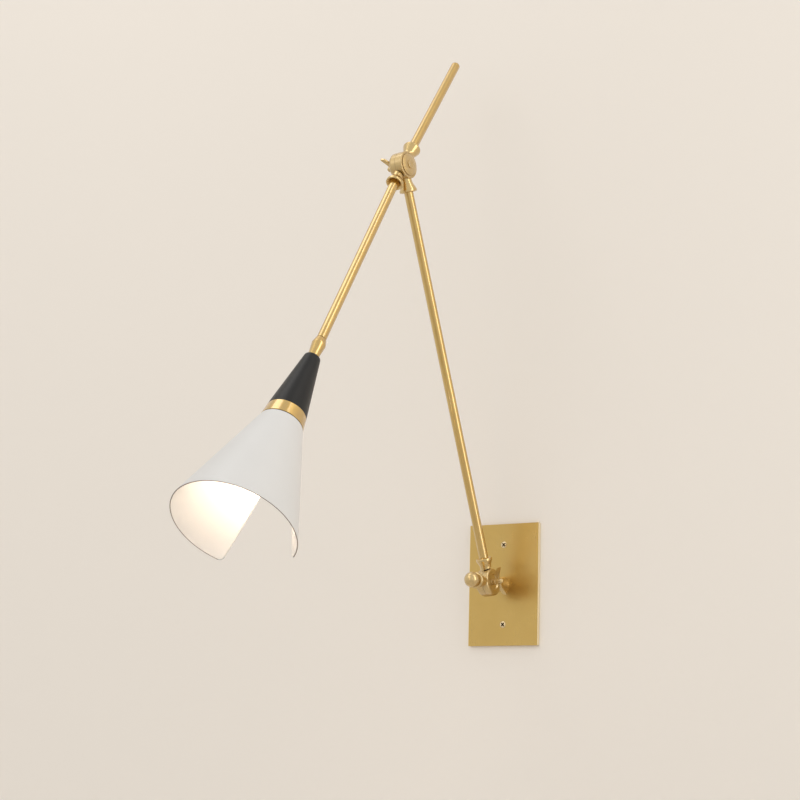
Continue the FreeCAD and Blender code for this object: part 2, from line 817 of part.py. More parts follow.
def make_bulb(floor):
    """Globe bulb with its threaded cap and end contact, and the holder's contact that it presses on."""
    cap_end = holder_mouth
    cap_start = cap_end - bulb_cap_height
    tip_start = cap_start - bulb_tip_height
    cap = turned([
        (0, tip_start),
        (bulb_contact_radius, tip_start),
        (bulb_tip_radius, tip_start, bulb_tip_height / 4),
        (bulb_cap_radius, cap_start, bulb_tip_height / 4),
        (bulb_cap_radius, cap_end),
        (bulb_neck_radius, cap_end + bulb_tip_height),
        (0, cap_end + bulb_tip_height),
    ])
    keep("bulb_cap", cap, rod_place)
    contact_start = tip_start - bulb_contact_height
    keep("bulb_contact", rod(bulb_contact_radius, contact_start, tip_start), rod_place)
    holder_contact = turned([
        (0, floor),
        (holder_bore_radius - seat_clearance, floor),
        (holder_bore_radius - seat_clearance, floor + contact_base_height),
        (contact_radius, floor + contact_base_height, contact_radius / 4),
        (contact_radius, contact_start, contact_radius / 4),
        (0, contact_start),
    ])
    keep("holder_contact", holder_contact, rod_place)

    neck = cap_end + bulb_tip_height
    centre = cap_end + bulb_globe_drop
    glass = bulb_glass(neck, centre, bulb_neck_radius, bulb_globe_radius)
    hollow = bulb_glass(neck - overrun, centre, bulb_neck_radius - bulb_glass_wall,
                        bulb_globe_radius - bulb_glass_wall)
    keep("bulb_glass", glass.cut(hollow), rod_place)


def bulb_glass(neck, centre, neck_edge_radius, globe_radius):
    """Flank that runs from the neck's edge on to a round globe without a corner, as one turned solid."""
    away = hypot(neck_edge_radius, centre - neck)
    turn = acos(globe_radius / away) + atan2(neck_edge_radius, centre - neck)
    meet = Vector(globe_radius * sin(turn), 0, centre - globe_radius * cos(turn))
    side = Vector(globe_radius, 0, centre)
    bottom = Vector(0, 0, centre + globe_radius)
    middle = Vector(0, 0, neck)
    neck_edge = Vector(neck_edge_radius, 0, neck)
    edges = [
        Part.Arc(meet, side, bottom).toShape(),
        Part.LineSegment(bottom, middle).toShape(),
        Part.LineSegment(middle, neck_edge).toShape(),
        Part.LineSegment(neck_edge, meet).toShape(),
    ]
    return Part.Face(Part.Wire(edges)).revolve(Vector(0, 0, 0), z_way, 360)


make_wall_plate()
make_stem()
make_arm()
make_clamps()
make_rod()
make_swivel()
make_neck()
make_shade()
make_bulb(make_lampholder())

os.makedirs("parts", exist_ok=True)
for name, shape in parts.items():
    shape.exportStep("parts/" + name + ".step")
    print(name, len(shape.Solids), round(shape.Volume, 1), "valid" if shape.isValid() else "not valid")
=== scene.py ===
import json
import logging
import math
from collections.abc import Sequence
from dataclasses import dataclass, field
from enum import Enum, IntEnum
from functools import reduce

import bmesh
import bpy
from mathutils import Matrix, Vector

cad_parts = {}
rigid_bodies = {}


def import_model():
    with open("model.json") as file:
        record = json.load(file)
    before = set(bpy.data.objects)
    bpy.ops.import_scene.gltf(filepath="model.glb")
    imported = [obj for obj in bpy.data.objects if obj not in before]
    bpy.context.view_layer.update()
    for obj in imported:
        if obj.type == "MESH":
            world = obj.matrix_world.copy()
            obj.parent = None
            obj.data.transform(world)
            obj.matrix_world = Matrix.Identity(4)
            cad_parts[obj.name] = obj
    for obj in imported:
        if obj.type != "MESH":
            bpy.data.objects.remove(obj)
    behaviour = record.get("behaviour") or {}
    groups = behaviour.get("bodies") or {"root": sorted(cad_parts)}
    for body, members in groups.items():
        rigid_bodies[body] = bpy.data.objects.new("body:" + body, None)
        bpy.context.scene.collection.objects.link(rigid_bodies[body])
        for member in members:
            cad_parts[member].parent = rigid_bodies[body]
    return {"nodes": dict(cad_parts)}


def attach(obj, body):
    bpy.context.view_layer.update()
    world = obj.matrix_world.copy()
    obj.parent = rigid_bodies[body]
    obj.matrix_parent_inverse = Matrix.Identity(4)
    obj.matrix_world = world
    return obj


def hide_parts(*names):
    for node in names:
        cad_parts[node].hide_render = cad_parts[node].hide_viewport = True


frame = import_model()

LOG = logging.getLogger("wall_lamp")
Triple = tuple[float, float, float]
Colour = Triple
Spot = tuple[float, ...]
Values = dict[str | int, object]

MM = 0.001                 # metres in a millimetre
CLEAR = 1e-6               # lengths below this count as nothing
ARC_STEP = math.radians(9)
CREASE = math.radians(32)  # an edge sharper than this stays sharp
SEAT = 0.05                # millimetres between pieces that fit into each other
NIPPLE_WAY = 4.05          # radius in millimetres of the holes for the head's nipple
MASK_FADE = 0.0001         # metres over which a finish changes at a mask's edge
LACQUER_IOR = 2.0
CABLE_GREY = ((0.5, 0.5, 0.49), (0.42, 0.42, 0.41))


def turn_x(degrees: float) -> Matrix:
    """Turn about the X axis, the way that tilts +Z towards the room."""
    return Matrix.Rotation(math.radians(degrees), 4, "X")


def turn_y(degrees: float) -> Matrix:
    """Turn about the Y axis."""
    return Matrix.Rotation(math.radians(degrees), 4, "Y")


def turn_z(degrees: float) -> Matrix:
    """Turn about the Z axis."""
    return Matrix.Rotation(math.radians(degrees), 4, "Z")


def shift(x: float, y: float, z: float) -> Matrix:
    """Shift in millimetres."""
    return Matrix.Translation(Vector((x, y, z)))


@dataclass(frozen=True)
class Places:
    """Frames of the lamp's sub-assemblies in millimetres, each with its pivot at the origin.

    Attributes:
        lamp_turn: Whole lamp about the plate's normal, in degrees.
        arm_lean: Arm from upright, in degrees.
        rod_lean: Rod from upright, in degrees.
        tail_cant: Tail against the rod's line, in degrees.
        shade_turn: Shade about the rod's line, in degrees.
        standoff: Base pivot from the wall.
        arm_length: Pivot to pivot along the arm.
        neck_offset: Necks from the joints' middle plane.
        rod_end: End of the lamp rod, down its own line.
        cone_top: Top of the black cone, down the same line.
    """

    lamp_turn: float = 3.6
    arm_lean: float = 18.0
    rod_lean: float = 34.2
    tail_cant: float = 2.4
    shade_turn: float = 6.4
    standoff: float = 30.5
    arm_length: float = 437.5
    neck_offset: float = 0.5
    rod_end: float = 253.6
    cone_top: float = 279.5

    @property
    def stem(self) -> Matrix:
        """Base pivot, upright but for the lamp's turn."""
        return turn_y(-self.lamp_turn) @ shift(0, -self.standoff, 0)

    @property
    def to_wall(self) -> Matrix:
        """Stem's line from the base pivot to the wall."""
        return self.stem @ turn_x(-90)

    @property
    def to_room(self) -> Matrix:
        """Stem's line from the base pivot into the room."""
        return self.stem @ turn_x(90)

    @property
    def arm(self) -> Matrix:
        """Base pivot with Z along the arm."""
        return self.stem @ turn_x(self.arm_lean)

    @property
    def arm_line(self) -> Matrix:
        """Arm tube's own line."""
        return self.arm @ shift(-self.neck_offset, 0, 0)

    @property
    def elbow_arm(self) -> Matrix:
        """Elbow pivot with Z along the arm."""
        return self.arm @ shift(-2 * self.neck_offset, 0, self.arm_length)

    @property
    def elbow(self) -> Matrix:
        """Elbow pivot, upright."""
        return self.elbow_arm @ turn_x(-self.arm_lean)

    @property
    def rod(self) -> Matrix:
        """Elbow pivot with Z down the lamp rod's line."""
        return self.elbow @ shift(-self.neck_offset, 0, 0) @ turn_x(180 - self.rod_lean)

    @property
    def tail(self) -> Matrix:
        """Elbow pivot with Z up the tail rod's line."""
        return self.elbow @ turn_x(-self.rod_lean - self.tail_cant)


PLACES = Places()


# Node trees


class Wire:
    """An output socket, on which arithmetic adds Math nodes."""

    def __init__(self, graph: "Nodes", socket: bpy.types.NodeSocket) -> None:
        """Keeps the socket and the tree that it is in."""
        self.graph = graph
        self.socket = socket

    def _math(self, operation: str, first: object, second: object) -> "Wire":
        """Adds one Math node on two values."""
        return self.graph.add("ShaderNodeMath", {"operation": operation}, {0: first, 1: second})

    def __add__(self, other: object) -> "Wire":
        """Sum."""
        return self._math("ADD", self, other)

    __radd__ = __add__

    def __mul__(self, other: object) -> "Wire":
        """Product."""
        return self._math("MULTIPLY", self, other)

    __rmul__ = __mul__

    def __sub__(self, other: object) -> "Wire":
        """Difference."""
        return self._math("SUBTRACT", self, other)

    def __rsub__(self, other: object) -> "Wire":
        """Difference from another value."""
        return self._math("SUBTRACT", other, self)

    def __truediv__(self, other: object) -> "Wire":
        """Quotient."""
        return self._math("DIVIDE", self, other)

    def __pow__(self, other: object) -> "Wire":
        """Power."""
        return self._math("POWER", self, other)

    def __abs__(self) -> "Wire":
        """Size without its sign."""
        return self._math("ABSOLUTE", self, 0.0)

    def above(self, limit: float, softness: float) -> "Wire":
        """Mask that rises from 0 to 1 around a limit.

        Args:
            limit: Value at which the mask is one half.
            softness: Width of the rise.

        Returns:
            The mask.
        """
        half = softness / 2
        links = {"Value": self, "From Min": limit - half, "From Max": limit + half}
        settings = {"interpolation_type": "SMOOTHSTEP"}
        return self.graph.add("ShaderNodeMapRange", settings, links)


class Nodes:
    """Node tree that is built in code."""

    def __init__(self, tree: bpy.types.NodeTree) -> None:
        """Keeps the tree."""
        self.tree = tree

    def node(
        self, kind: str, settings: Values | None = None, links: Values | None = None
    ) -> bpy.types.Node:
        """Adds a node.

        Args:
            kind: Node type.
            settings: Properties, set first.
            links: Values or wires by input name or number.

        Returns:
            The node.
        """
        node = self.tree.nodes.new(kind)
        for key, value in (settings or {}).items():
            setattr(node, key, value)
        for key, value in (links or {}).items():
            if isinstance(value, Wire):
                self.tree.links.new(value.socket, node.inputs[key])
            else:
                node.inputs[key].default_value = value
        return node

    def add(
        self,
        kind: str,
        settings: Values | None = None,
        links: Values | None = None,
        output: str | int = 0,
    ) -> Wire:
        """Adds a node and gives the wire from one of its outputs."""
        return Wire(self, self.node(kind, settings, links).outputs[output])


class Graph(Nodes):
    """Node tree of one material."""

    def __init__(self, name: str) -> None:
        """Starts an empty material of that name."""
        self.material = bpy.data.materials.new(name)
        self.material.use_nodes = True
        super().__init__(self.material.node_tree)
        self.tree.nodes.clear()

    def local(self, place: Matrix, stretch: Triple = (1, 1, 1)) -> Wire:
        """Object coordinates turned into a piece's own frame.

        Args:
            place: Piece's frame in millimetres.
            stretch: Scale of each axis of that frame.

        Returns:
            The vector's wire.
        """
        inverse = place.to_3x3().inverted()
        away = -(inverse @ place.to_translation()) * MM
        objects = self.add("ShaderNodeTexCoord", output="Object")
        links = {"Vector": objects, "Location": away, "Rotation": inverse.to_euler()}
        turned = self.add("ShaderNodeMapping", {"vector_type": "POINT"}, links)
        scaled = {0: turned, 1: stretch}
        return self.add("ShaderNodeVectorMath", {"operation": "MULTIPLY"}, scaled)

    def part(self, vector: Wire, axis: str) -> Wire:
        """One component of a vector."""
        return self.add("ShaderNodeSeparateXYZ", links={0: vector}, output=axis)

    def noise(self, vector: Wire, scale: float, detail: float = 3.0) -> Wire:
        """Noise from 0 to 1."""
        links = {"Vector": vector, "Scale": scale, "Detail": detail}
        return self.add("ShaderNodeTexNoise", links=links, output="Fac")

    def mix(self, factor: Wire, first: Wire | Colour, second: Wire | Colour) -> Wire:
        """Colour between two colours, either of them a wire or three numbers.

        Args:
            factor: Share of the second colour.
            first: First colour.
            second: Second colour.

        Returns:
            The colour's wire.
        """
        colours = [c if isinstance(c, Wire) else (*c, 1) for c in (first, second)]
        links = {0: factor, 6: colours[0], 7: colours[1]}
        return self.add("ShaderNodeMix", {"data_type": "RGBA"}, links, output=2)

    def bump(self, height: Wire, distance: float, strength: float) -> Wire:
        """Normal from a height."""
        links = {"Height": height, "Distance": distance, "Strength": strength}
        return self.add("ShaderNodeBump", links=links)

    def finish(self, inputs: Values) -> bpy.types.Material:
        """Ends the tree in a Principled shader with these inputs.

        Args:
            inputs: Values or wires by the shader's input names.

        Returns:
            The material.
        """
        shader = self.add("ShaderNodeBsdfPrincipled", links=inputs)
        self.node("ShaderNodeOutputMaterial", links={"Surface": shader})
        return self.material


# Materials


class Grain(Enum):
    """Way that the marks of a metal's last polish run in a piece's own frame."""

    ALONG = (1.0, 1.0, 0.03)
    AROUND = (0.03, 0.03, 1.0)
    CAST = (1.0, 1.0, 1.0)


@dataclass(frozen=True)
class Brass:
    """Lacquered brass with fine polishing marks, faint clouds and darker spots.

    Attributes:
        name: Material's name.
        place: Frame of the piece that wears it.
        grain: Way of the polishing marks.
        body: Colour of the metal.
        shade: Colour of its darker clouds and spots.
        roughness: Middle roughness.
        marks: Depth of the polishing marks in metres.
        fineness: Polishing marks in a metre.
        coat: Weight of the clear lacquer.
        gloss: Roughness of the lacquer.
        bare: Colour where the mask shows: polished metal on the castings' necks, a
            painted highlight on the plate's edges and the screws' crowns, painted shade on the
            swivel stud's neck.
        mask: Axis of the piece's frame, or R for round its X axis, with the distance in metres
            past which that colour shows and its roughness there.
        clouds: Clouds in a metre.
        spots: Dark spots in a metre.
        spot_share: Height of the noise above which a spot shows.
        spot_depth: Strength of the spots.
        unevenness: Change of roughness with the clouds and with the marks.
    """

    name: str
    place: Matrix = field(default_factory=Matrix)
    grain: Grain = Grain.ALONG
    body: Colour = (0.60, 0.385, 0.08)
    shade: Colour = (0.54, 0.33, 0.055)
    roughness: float = 0.3
    marks: float = 0.00002
    fineness: float = 2600.0
    coat: float = 1.0
    gloss: float = 0.1
    # Pale default, used on the plate's edges as a painted highlight.
    bare: Colour = (0.92, 0.8, 0.55)
    mask: tuple[str, float, float] | None = None
    clouds: float = 34.0
    spots: float = 260.0
    spot_share: float = 0.66
    spot_depth: float = 0.18
    unevenness: float = 0.10

    def material(self) -> bpy.types.Material:
        """Builds the material.

        Returns:
            The material.
        """
        g = Graph(self.name)
        here = g.local(self.place)
        clouds = g.noise(here, self.clouds, 4.0)
        spots = g.noise(here, self.spots, 2.0).above(self.spot_share, 0.1)
        brushed = g.noise(g.local(self.place, self.grain.value), self.fineness, 2.0)
        colour = g.mix(clouds.above(0.5, 0.5), self.body, self.shade)
        colour = g.mix(spots * self.spot_depth, colour, self.shade)
        change = self.unevenness
        rough = self.roughness + (clouds - 0.5) * change + (brushed - 0.5) * change
        # Masked band: polished necks, painted highlight on plate and screws, painted shade on the
        # stud.
        if self.mask:
            axis, limit, bare_roughness = self.mask
            bare_or_painted_light_band = self._away(g, here, axis).above(limit, MASK_FADE)
            colour = g.mix(bare_or_painted_light_band, colour, self.bare)
            rough = rough + bare_or_painted_light_band * (bare_roughness - self.roughness)
        return g.finish({
            "Base Color": colour,
            "Metallic": 1.0,
            "Roughness": rough,
            "Coat Weight": self.coat,
            "Coat Roughness": self.gloss,
            "Coat IOR": LACQUER_IOR,
            "Normal": g.bump(brushed, self.marks, 0.35),
        })

    @staticmethod
    def _away(g: Graph, here: Wire, axis: str) -> Wire:
        """Distance from the origin along an axis, or from the X axis for R.

        Args:
            g: Tree of the material.
            here: Place in the piece's own frame.
            axis: X, Y, Z or R.

        Returns:
            The distance.
        """
        if axis != "R":
            return abs(g.part(here, axis))
        y, z = g.part(here, "Y"), g.part(here, "Z")
        return (y * y + z * z) ** 0.5


@dataclass(frozen=True)
class Cast(Brass):
    """Brass of the cast pieces, blasted to a soft, paler satin with polished necks."""

    grain: Grain = Grain.CAST
    body: Colour = (0.585, 0.40, 0.13)
    shade: Colour = (0.53, 0.35, 0.10)
    roughness: float = 0.38
    gloss: float = 0.24
    bare: Colour = (0.60, 0.40, 0.11)


@dataclass(frozen=True)
class Paint:
    """Sprayed paint with a faint orange peel and soft colour drift.

    Attributes:
        name: Material's name.
        colour: Colour of the paint.
        drift: Colour that it drifts towards.
        roughness: Middle roughness.
        peel: Height of the surface's texture in metres.
        peel_scale: Bumps of the texture in a metre.
        place: Frame of the piece that wears it.
        painted: Heights in that frame, in metres, between which the paint's own colour shows. None
            for everywhere.
        seat_shade_and_rim_colour: Colour outside them: painted shade at the seat below, a darker
            band at the rim above.
        specular: Strength of the paint's own reflection, 0.5 for plain paint.
        drift_scale: Patches of the colour drift in a metre.
    """

    name: str
    colour: Colour
    drift: Colour
    roughness: float = 0.4
    peel: float = 0.00002
    peel_scale: float = 1800.0
    place: Matrix = field(default_factory=Matrix)
    painted: tuple[float, float] | None = None
    seat_shade_and_rim_colour: Colour = (0.27, 0.225, 0.19)
    specular: float = 0.5
    drift_scale: float = 18.0

    def material(self) -> bpy.types.Material:
        """Builds the material.

        Returns:
            The material.
        """
        g = Graph(self.name)
        here = g.local(self.place)
        peel = g.noise(here, self.peel_scale, 2.0)
        drift = g.noise(here, self.drift_scale)
        colour = g.mix(drift.above(0.5, 0.6), self.colour, self.drift)
        # Below the band the seat gets painted shade, above it the rim a darker band.
        if self.painted:
            low, high = self.painted
            height = g.part(here, "Z")
            bare = height.above(high, MASK_FADE) + (1 - height.above(low, MASK_FADE))
            colour = g.mix(bare, colour, self.seat_shade_and_rim_colour)
        return g.finish({
            "Base Color": colour,
            "Roughness": self.roughness + (peel - 0.5) * 0.12,
            "Specular IOR Level": self.specular,
            "Normal": g.bump(peel, self.peel, 0.4),
        })


@dataclass(frozen=True)
class Plain:
    """Moulded, rolled or drawn material of a held or hidden piece.

    Attributes:
        name: Material's name.
        colour: Main colour.
        second: Colour that it drifts towards.
        roughness: Middle roughness.
        metallic: 1 for bare metal.
        scale: Grains in a metre.
    """

    name: str
    colour: Colour
    second: Colour
    roughness: float
    metallic: float = 0.0
    scale: float = 900.0

    def material(self) -> bpy.types.Material:
        """Builds the material.

        Returns:
            The material.
        """
        g = Graph(self.name)
        grain = g.noise(g.local(Matrix()), self.scale)
        return g.finish({
            "Base Color": g.mix(grain, self.colour, self.second),
            "Metallic": self.metallic,
            "Roughness": self.roughness + (grain - 0.5) * 0.2,
            "Normal": g.bump(grain, 0.00002, 0.4),
        })


@dataclass(frozen=True)
class Frosted:
    """Lit frosted glass.

    Attributes:
        name: Material's name.
        glass: Colour of the glass.
        dull: Colour of its duller clouds.
        glow: Colour of its light.
        strength: Strength of its light.
    """

    name: str
    glass: Colour = (0.86, 0.85, 0.82)
    dull: Colour = (0.8, 0.79, 0.76)
    glow: Colour = (1.0, 0.80, 0.62)
    strength: float = 17.0

    def material(self) -> bpy.types.Material:
        """Builds the material.

        Returns:
            The material.
        """
        g = Graph(self.name)
        here = g.local(Matrix())
        frost = g.noise(here, 1400.0)
        cloud = g.noise(here, 40.0, 2.0)
        return g.finish({
            "Base Color": g.mix(cloud, self.glass, self.dull),
            "Roughness": 0.5 + (frost - 0.5) * 0.2,
            "Emission Color": g.mix(cloud, self.glow, tuple(c * 0.94 for c in self.glow)),
            "Emission Strength": self.strength,
            "Normal": g.bump(frost, 0.00001, 0.4),
        })


# Meshes


class Facets(IntEnum):
    """Faces round a turned piece, more for a larger one."""

    RIB = 12
    WIRE = 24
    CABLE = 48
    SMALL = 64
    MIDDLE = 96
    LARGE = 144
    SHADE = 256


def rounded(points: Sequence[Spot]) -> list[Spot]:
    """Closed outline with its corners rounded.

    Args:
        points: (a, b) or (a, b, rounding) corners in millimetres.

    Returns:
        The outline's points, with each rounding as an arc.
    """
    outline: list[Spot] = []
    for i, point in enumerate(points):
        here = Vector(point[:2])
        rounding = point[2] if len(point) > 2 else 0.0
        if rounding == 0:
            outline.append((here.x, here.y))
            continue
        before = (Vector(points[i - 1][:2]) - here).normalized()
        after = (Vector(points[(i + 1) % len(points)][:2]) - here).normalized()
        half = before.angle(after) / 2
        reach = rounding / math.tan(half)
        centre = here + (before + after).normalized() * (rounding / math.sin(half))
        first = here + before * reach - centre
        last = here + after * reach - centre
        sweep = first.angle_signed(last)
        steps = max(2, math.ceil(abs(sweep) / ARC_STEP))
        for k in range(steps + 1):
            spot = centre + Matrix.Rotation(-sweep * k / steps, 2) @ first
            outline.append((spot.x, spot.y))
    return outline


class Solid:
    """Mesh under work, in millimetres and in a frame of its own."""

    def __init__(self, mesh: bpy.types.Mesh) -> None:
        """Keeps the mesh."""
        self.mesh = mesh

    @classmethod
    def _from(cls, work: bmesh.types.BMesh) -> "Solid":
        """Solid from a bmesh, with its faces outwards.

        Args:
            work: The bmesh, which is freed.

        Returns:
            The solid.
        """
        bmesh.ops.remove_doubles(work, verts=work.verts, dist=CLEAR)
        bmesh.ops.recalc_face_normals(work, faces=work.faces)
        mesh = bpy.data.meshes.new("work")
        work.to_mesh(mesh)
        work.free()
        return cls(mesh)

    @classmethod
    def turned(cls, points: Sequence[Spot], segments: int = Facets.MIDDLE) -> "Solid":
        """Solid turned about Z.

        Args:
            points: (radius, height, rounding) corners of a closed outline.
            segments: Faces round the axis.

        Returns:
            The solid.
        """
        work = bmesh.new()
        angles = [2 * math.pi * k / segments for k in range(segments)]
        rings = []
        for r, z in rounded(points):
            spots = [(r * math.cos(t), r * math.sin(t), z) for t in angles]
            rings.append([work.verts.new(spot) for spot in (spots if r >= CLEAR else [(0, 0, z)])])
        for low, high in zip(rings, rings[1:] + rings[:1]):
            if len(low) == 1 and len(high) == 1:
                continue
            for k in range(segments):
                n = (k + 1) % segments
                ways = ((low, k), (low, n), (high, n), (high, k))
                work.faces.new(list(dict.fromkeys(ring[i % len(ring)] for ring, i in ways)))
        return cls._from(work)

    @classmethod
    def ring(
        cls, radius: float, bore: float, low: float, high: float, rounding: float = 0.0
    ) -> "Solid":
        """Round ring on Z, or a bar where the bore is zero, with its outer corners rounded."""
        outside = [(radius, low, rounding), (radius, high, rounding)]
        return cls.turned([(bore, low), *outside, (bore, high)])

    @classmethod
    def slab(cls, points: Sequence[Spot], thickness: float, bevel: float = 0.0) -> "Solid":
        """Flat piece of an outline in the XZ plane, centred on that plane.

        Args:
            points: (x, z, rounding) corners.
            thickness: Size across the plane.
            bevel: Rounding of its edges.

        Returns:
            The solid.
        """
        work = bmesh.new()
        outline = rounded(points)
        half = thickness / 2
        near, far = ([work.verts.new((x, y, z)) for x, z in outline] for y in (-half, half))
        work.faces.new(near)
        work.faces.new(far)
        for k in range(len(outline)):
            n = (k + 1) % len(outline)
            work.faces.new([near[k], near[n], far[n], far[k]])
        if bevel:
            flat = [f for f in work.faces if len(f.verts) > 4]
            edges = list({e for f in flat for e in f.edges})
            bmesh.ops.bevel(
                work, geom=edges, offset=bevel, segments=3, profile=0.5, affect="EDGES"
            )
        return cls._from(work)

    @classmethod
    def prism(cls, sides: int, flats: float, low: float, high: float) -> "Solid":
        """Upright prism with its corners turned down, such as a nut's body.

        Args:
            sides: Number of its sides.
            flats: Width across two flats.
            low: Lower end.
            high: Upper end.

        Returns:
            The solid.
        """
        corner = flats / 2 / math.cos(math.pi / sides)
        edge = corner - flats / 2
        body = cls.turned([(0, low), (corner, low), (corner, high), (0, high)], sides)
        crown = cls.turned([
            (0, low), (flats / 2, low), (corner, low + edge / 2),
            (corner, high - edge / 2), (flats / 2, high), (0, high),
        ])
        return body.kept_in(crown)

    @classmethod
    def thread(
        cls, radius: float, depth: float, pitch: float, low: float, high: float
    ) -> "Solid":
        """Threaded bar on Z.

        Args:
            radius: Outer radius.
            depth: Depth of the thread.
            pitch: Rise of one turn.
            low: Lower end.
            high: Upper end.

        Returns:
            The solid.
        """
        around, per_turn, flank = 40, 8, 1.6
        rows = max(2, round((high - low) / pitch * per_turn))
        work = bmesh.new()
        grid = []
        for j in range(rows + 1):
            z = low + (high - low) * j / rows
            end = min(1.0, (z - low) / pitch, (high - z) / pitch)
            ring = []
            for k in range(around):
                phase = (z / pitch - k / around) % 1
                r = radius - depth * (1 - min(1.0, abs(2 * phase - 1) * flank) * end)
                t = 2 * math.pi * k / around
                ring.append(work.verts.new((r * math.cos(t), r * math.sin(t), z)))
            grid.append(ring)
        for below, above in zip(grid, grid[1:]):
            for k in range(around):
                n = (k + 1) % around
                work.faces.new([below[k], below[n], above[n], above[k]])
        work.faces.new(grid[0])
        work.faces.new(grid[-1])
        return cls._from(work)

    def at(self, place: Matrix) -> "Solid":
        """Moves the solid to a place."""
        self.mesh.transform(place)
        return self

    def _with(self, other: "Solid", operation: str) -> "Solid":
        """Boolean of this solid with another one.

        Args:
            other: The other solid, which is used up.
            operation: DIFFERENCE, UNION or INTERSECT.

        Returns:
            The solid that is left.
        """
        host, tool = linked("host", self.mesh), linked("tool", other.mesh)
        change = host.modifiers.new("change", "BOOLEAN")
        change.operation = operation
        change.solver = "EXACT"
        change.object = tool
        made = settled(host)
        bpy.data.objects.remove(tool)
        return Solid(made)

    def cut(self, *others: "Solid") -> "Solid":
        """Solid without the others."""
        return reduce(lambda made, other: made._with(other, "DIFFERENCE"), others, self)

    def fused(self, *others: "Solid") -> "Solid":
        """Solid grown together with the others."""
        return reduce(lambda made, other: made._with(other, "UNION"), others, self)

    def kept_in(self, other: "Solid") -> "Solid":
        """What lies inside another solid."""
        return self._with(other, "INTERSECT")

    def softened(self, width: float, angle: float) -> "Solid":
        """Solid with a rounding of that width on edges sharper than that angle in degrees.

        Args:
            width: Width of the rounding.
            angle: Angle in degrees.

        Returns:
            The solid.
        """
        host = linked("host", self.mesh)
        bevel = host.modifiers.new("soften", "BEVEL")
        bevel.width = width
        bevel.segments = 2
        bevel.limit_method = "ANGLE"
        bevel.angle_limit = math.radians(angle)
        return Solid(settled(host))

    def _piece(self, name: str, material: bpy.types.Material, place: Matrix) -> bpy.types.Object:
        """Ends the work as a named object in the lamp's own frame, with its place in its mesh.

        Args:
            name: Piece's name.
            material: Its finish.
            place: Its frame in millimetres.

        Returns:
            The object.
        """
        mesh = self.mesh
        mesh.name = name
        mesh.transform(Matrix.Scale(MM, 4) @ place)
        mesh.materials.clear()
        mesh.materials.append(material)
        mesh.polygons.foreach_set("use_smooth", [True] * len(mesh.polygons))
        mesh.set_sharp_from_angle(angle=CREASE)
        made = linked(name, mesh)
        weigh = made.modifiers.new("weigh", "WEIGHTED_NORMAL")
        weigh.keep_sharp = True
        weigh.weight = 60
        shaped = settled(made)
        shaped.name = name
        return linked(name, shaped)

    def seated(
        self, name: str, material: bpy.types.Material, place: Matrix, body: str, slot: str,
        *nodes: str,
    ) -> None:
        """Ends the work as a named piece that rides on its body.

        Args:
            name: Piece's name.
            material: Its finish.
            place: Its frame in millimetres.
            body: CAD body that it moves with.
            slot: Material slot of the record; not used.
            nodes: CAD nodes that it replaces.
        """
        piece = self._piece(name, material, place)
        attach(piece, body)
        if nodes:
            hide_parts(*nodes)
        LOG.info("%s: %d faces on %s", name, len(piece.data.polygons), body)


def linked(name: str, data: bpy.types.ID) -> bpy.types.Object:
    """New object of that name and data, in the scene.

    Args:
        name: Object's name.
        data: Its mesh, camera or lamp.

    Returns:
        The object.
    """
    made = bpy.data.objects.new(name, data)
    bpy.context.scene.collection.objects.link(made)
    return made


def settled(holder: bpy.types.Object) -> bpy.types.Mesh:
    """Mesh of an object with its modifiers applied; the object is removed.

    Args:
        holder: The object.

    Returns:
        The mesh.
    """
    bpy.context.view_layer.update()
    graph = bpy.context.evaluated_depsgraph_get()
    mesh = bpy.data.meshes.new_from_object(holder.evaluated_get(graph), depsgraph=graph)
    bpy.data.objects.remove(holder)
    return mesh


class Tree(Nodes):
    """Geometry Nodes tree."""

    def __init__(self, name: str) -> None:
        """Starts a tree with a geometry input and output."""
        super().__init__(bpy.data.node_groups.new(name, "GeometryNodeTree"))
        for way in ("INPUT", "OUTPUT"):
            self._socket("Geometry", way, "Geometry")
        self.inputs = self.tree.nodes.new("NodeGroupInput")
        self.result = self.tree.nodes.new("NodeGroupOutput")

    def _socket(self, name: str, way: str, kind: str) -> None:
        """Adds a socket to the tree's outside."""
        self.tree.interface.new_socket(name, in_out=way, socket_type="NodeSocket" + kind)

    def input(self, name: str, kind: str) -> Wire:
        """Adds a named input and gives its wire inside the tree."""
        self._socket(name, "INPUT", kind)
        return Wire(self, self.inputs.outputs[name])

    def close(self, geometry: Wire) -> "Tree":
        """Ends the tree in real geometry with the material input.

        Args:
            geometry: What the tree has made.

        Returns:
            The tree.
        """
        real = self.add("GeometryNodeRealizeInstances", links={0: geometry})
        links = {"Geometry": real, "Material": self.input("Finish", "Material")}
        dressed = self.add("GeometryNodeSetMaterial", links=links)
        self.tree.links.new(dressed.socket, self.result.inputs[0])
        return self

    def copies(self, points: Wire, piece: Wire, places: Values | None = None) -> "Tree":
        """Ends the tree in copies of a piece on points.

        Args:
            points: Points that carry the copies.
            piece: Object that is copied.
            places: Further inputs of the copies, such as their rotation.

        Returns:
            The tree.
        """
        info = self.add("GeometryNodeObjectInfo", links={"Object": piece}, output="Geometry")
        links = {"Points": points, "Instance": info, **(places or {})}
        return self.close(self.add("GeometryNodeInstanceOnPoints", links=links))

    def run(self, values: dict[str, object]) -> Solid:
        """Evaluates the tree.

        Args:
            values: Values of the named inputs.

        Returns:
            The plain solid that it makes.
        """
        holder = linked("holder", bpy.data.meshes.new("empty"))
        modifier = holder.modifiers.new("made", "NODES")
        modifier.node_group = self.tree
        for item in self.tree.interface.items_tree:
            if item.in_out == "INPUT" and item.name in values:
                modifier[item.identifier] = values[item.name]
        return Solid(settled(holder))


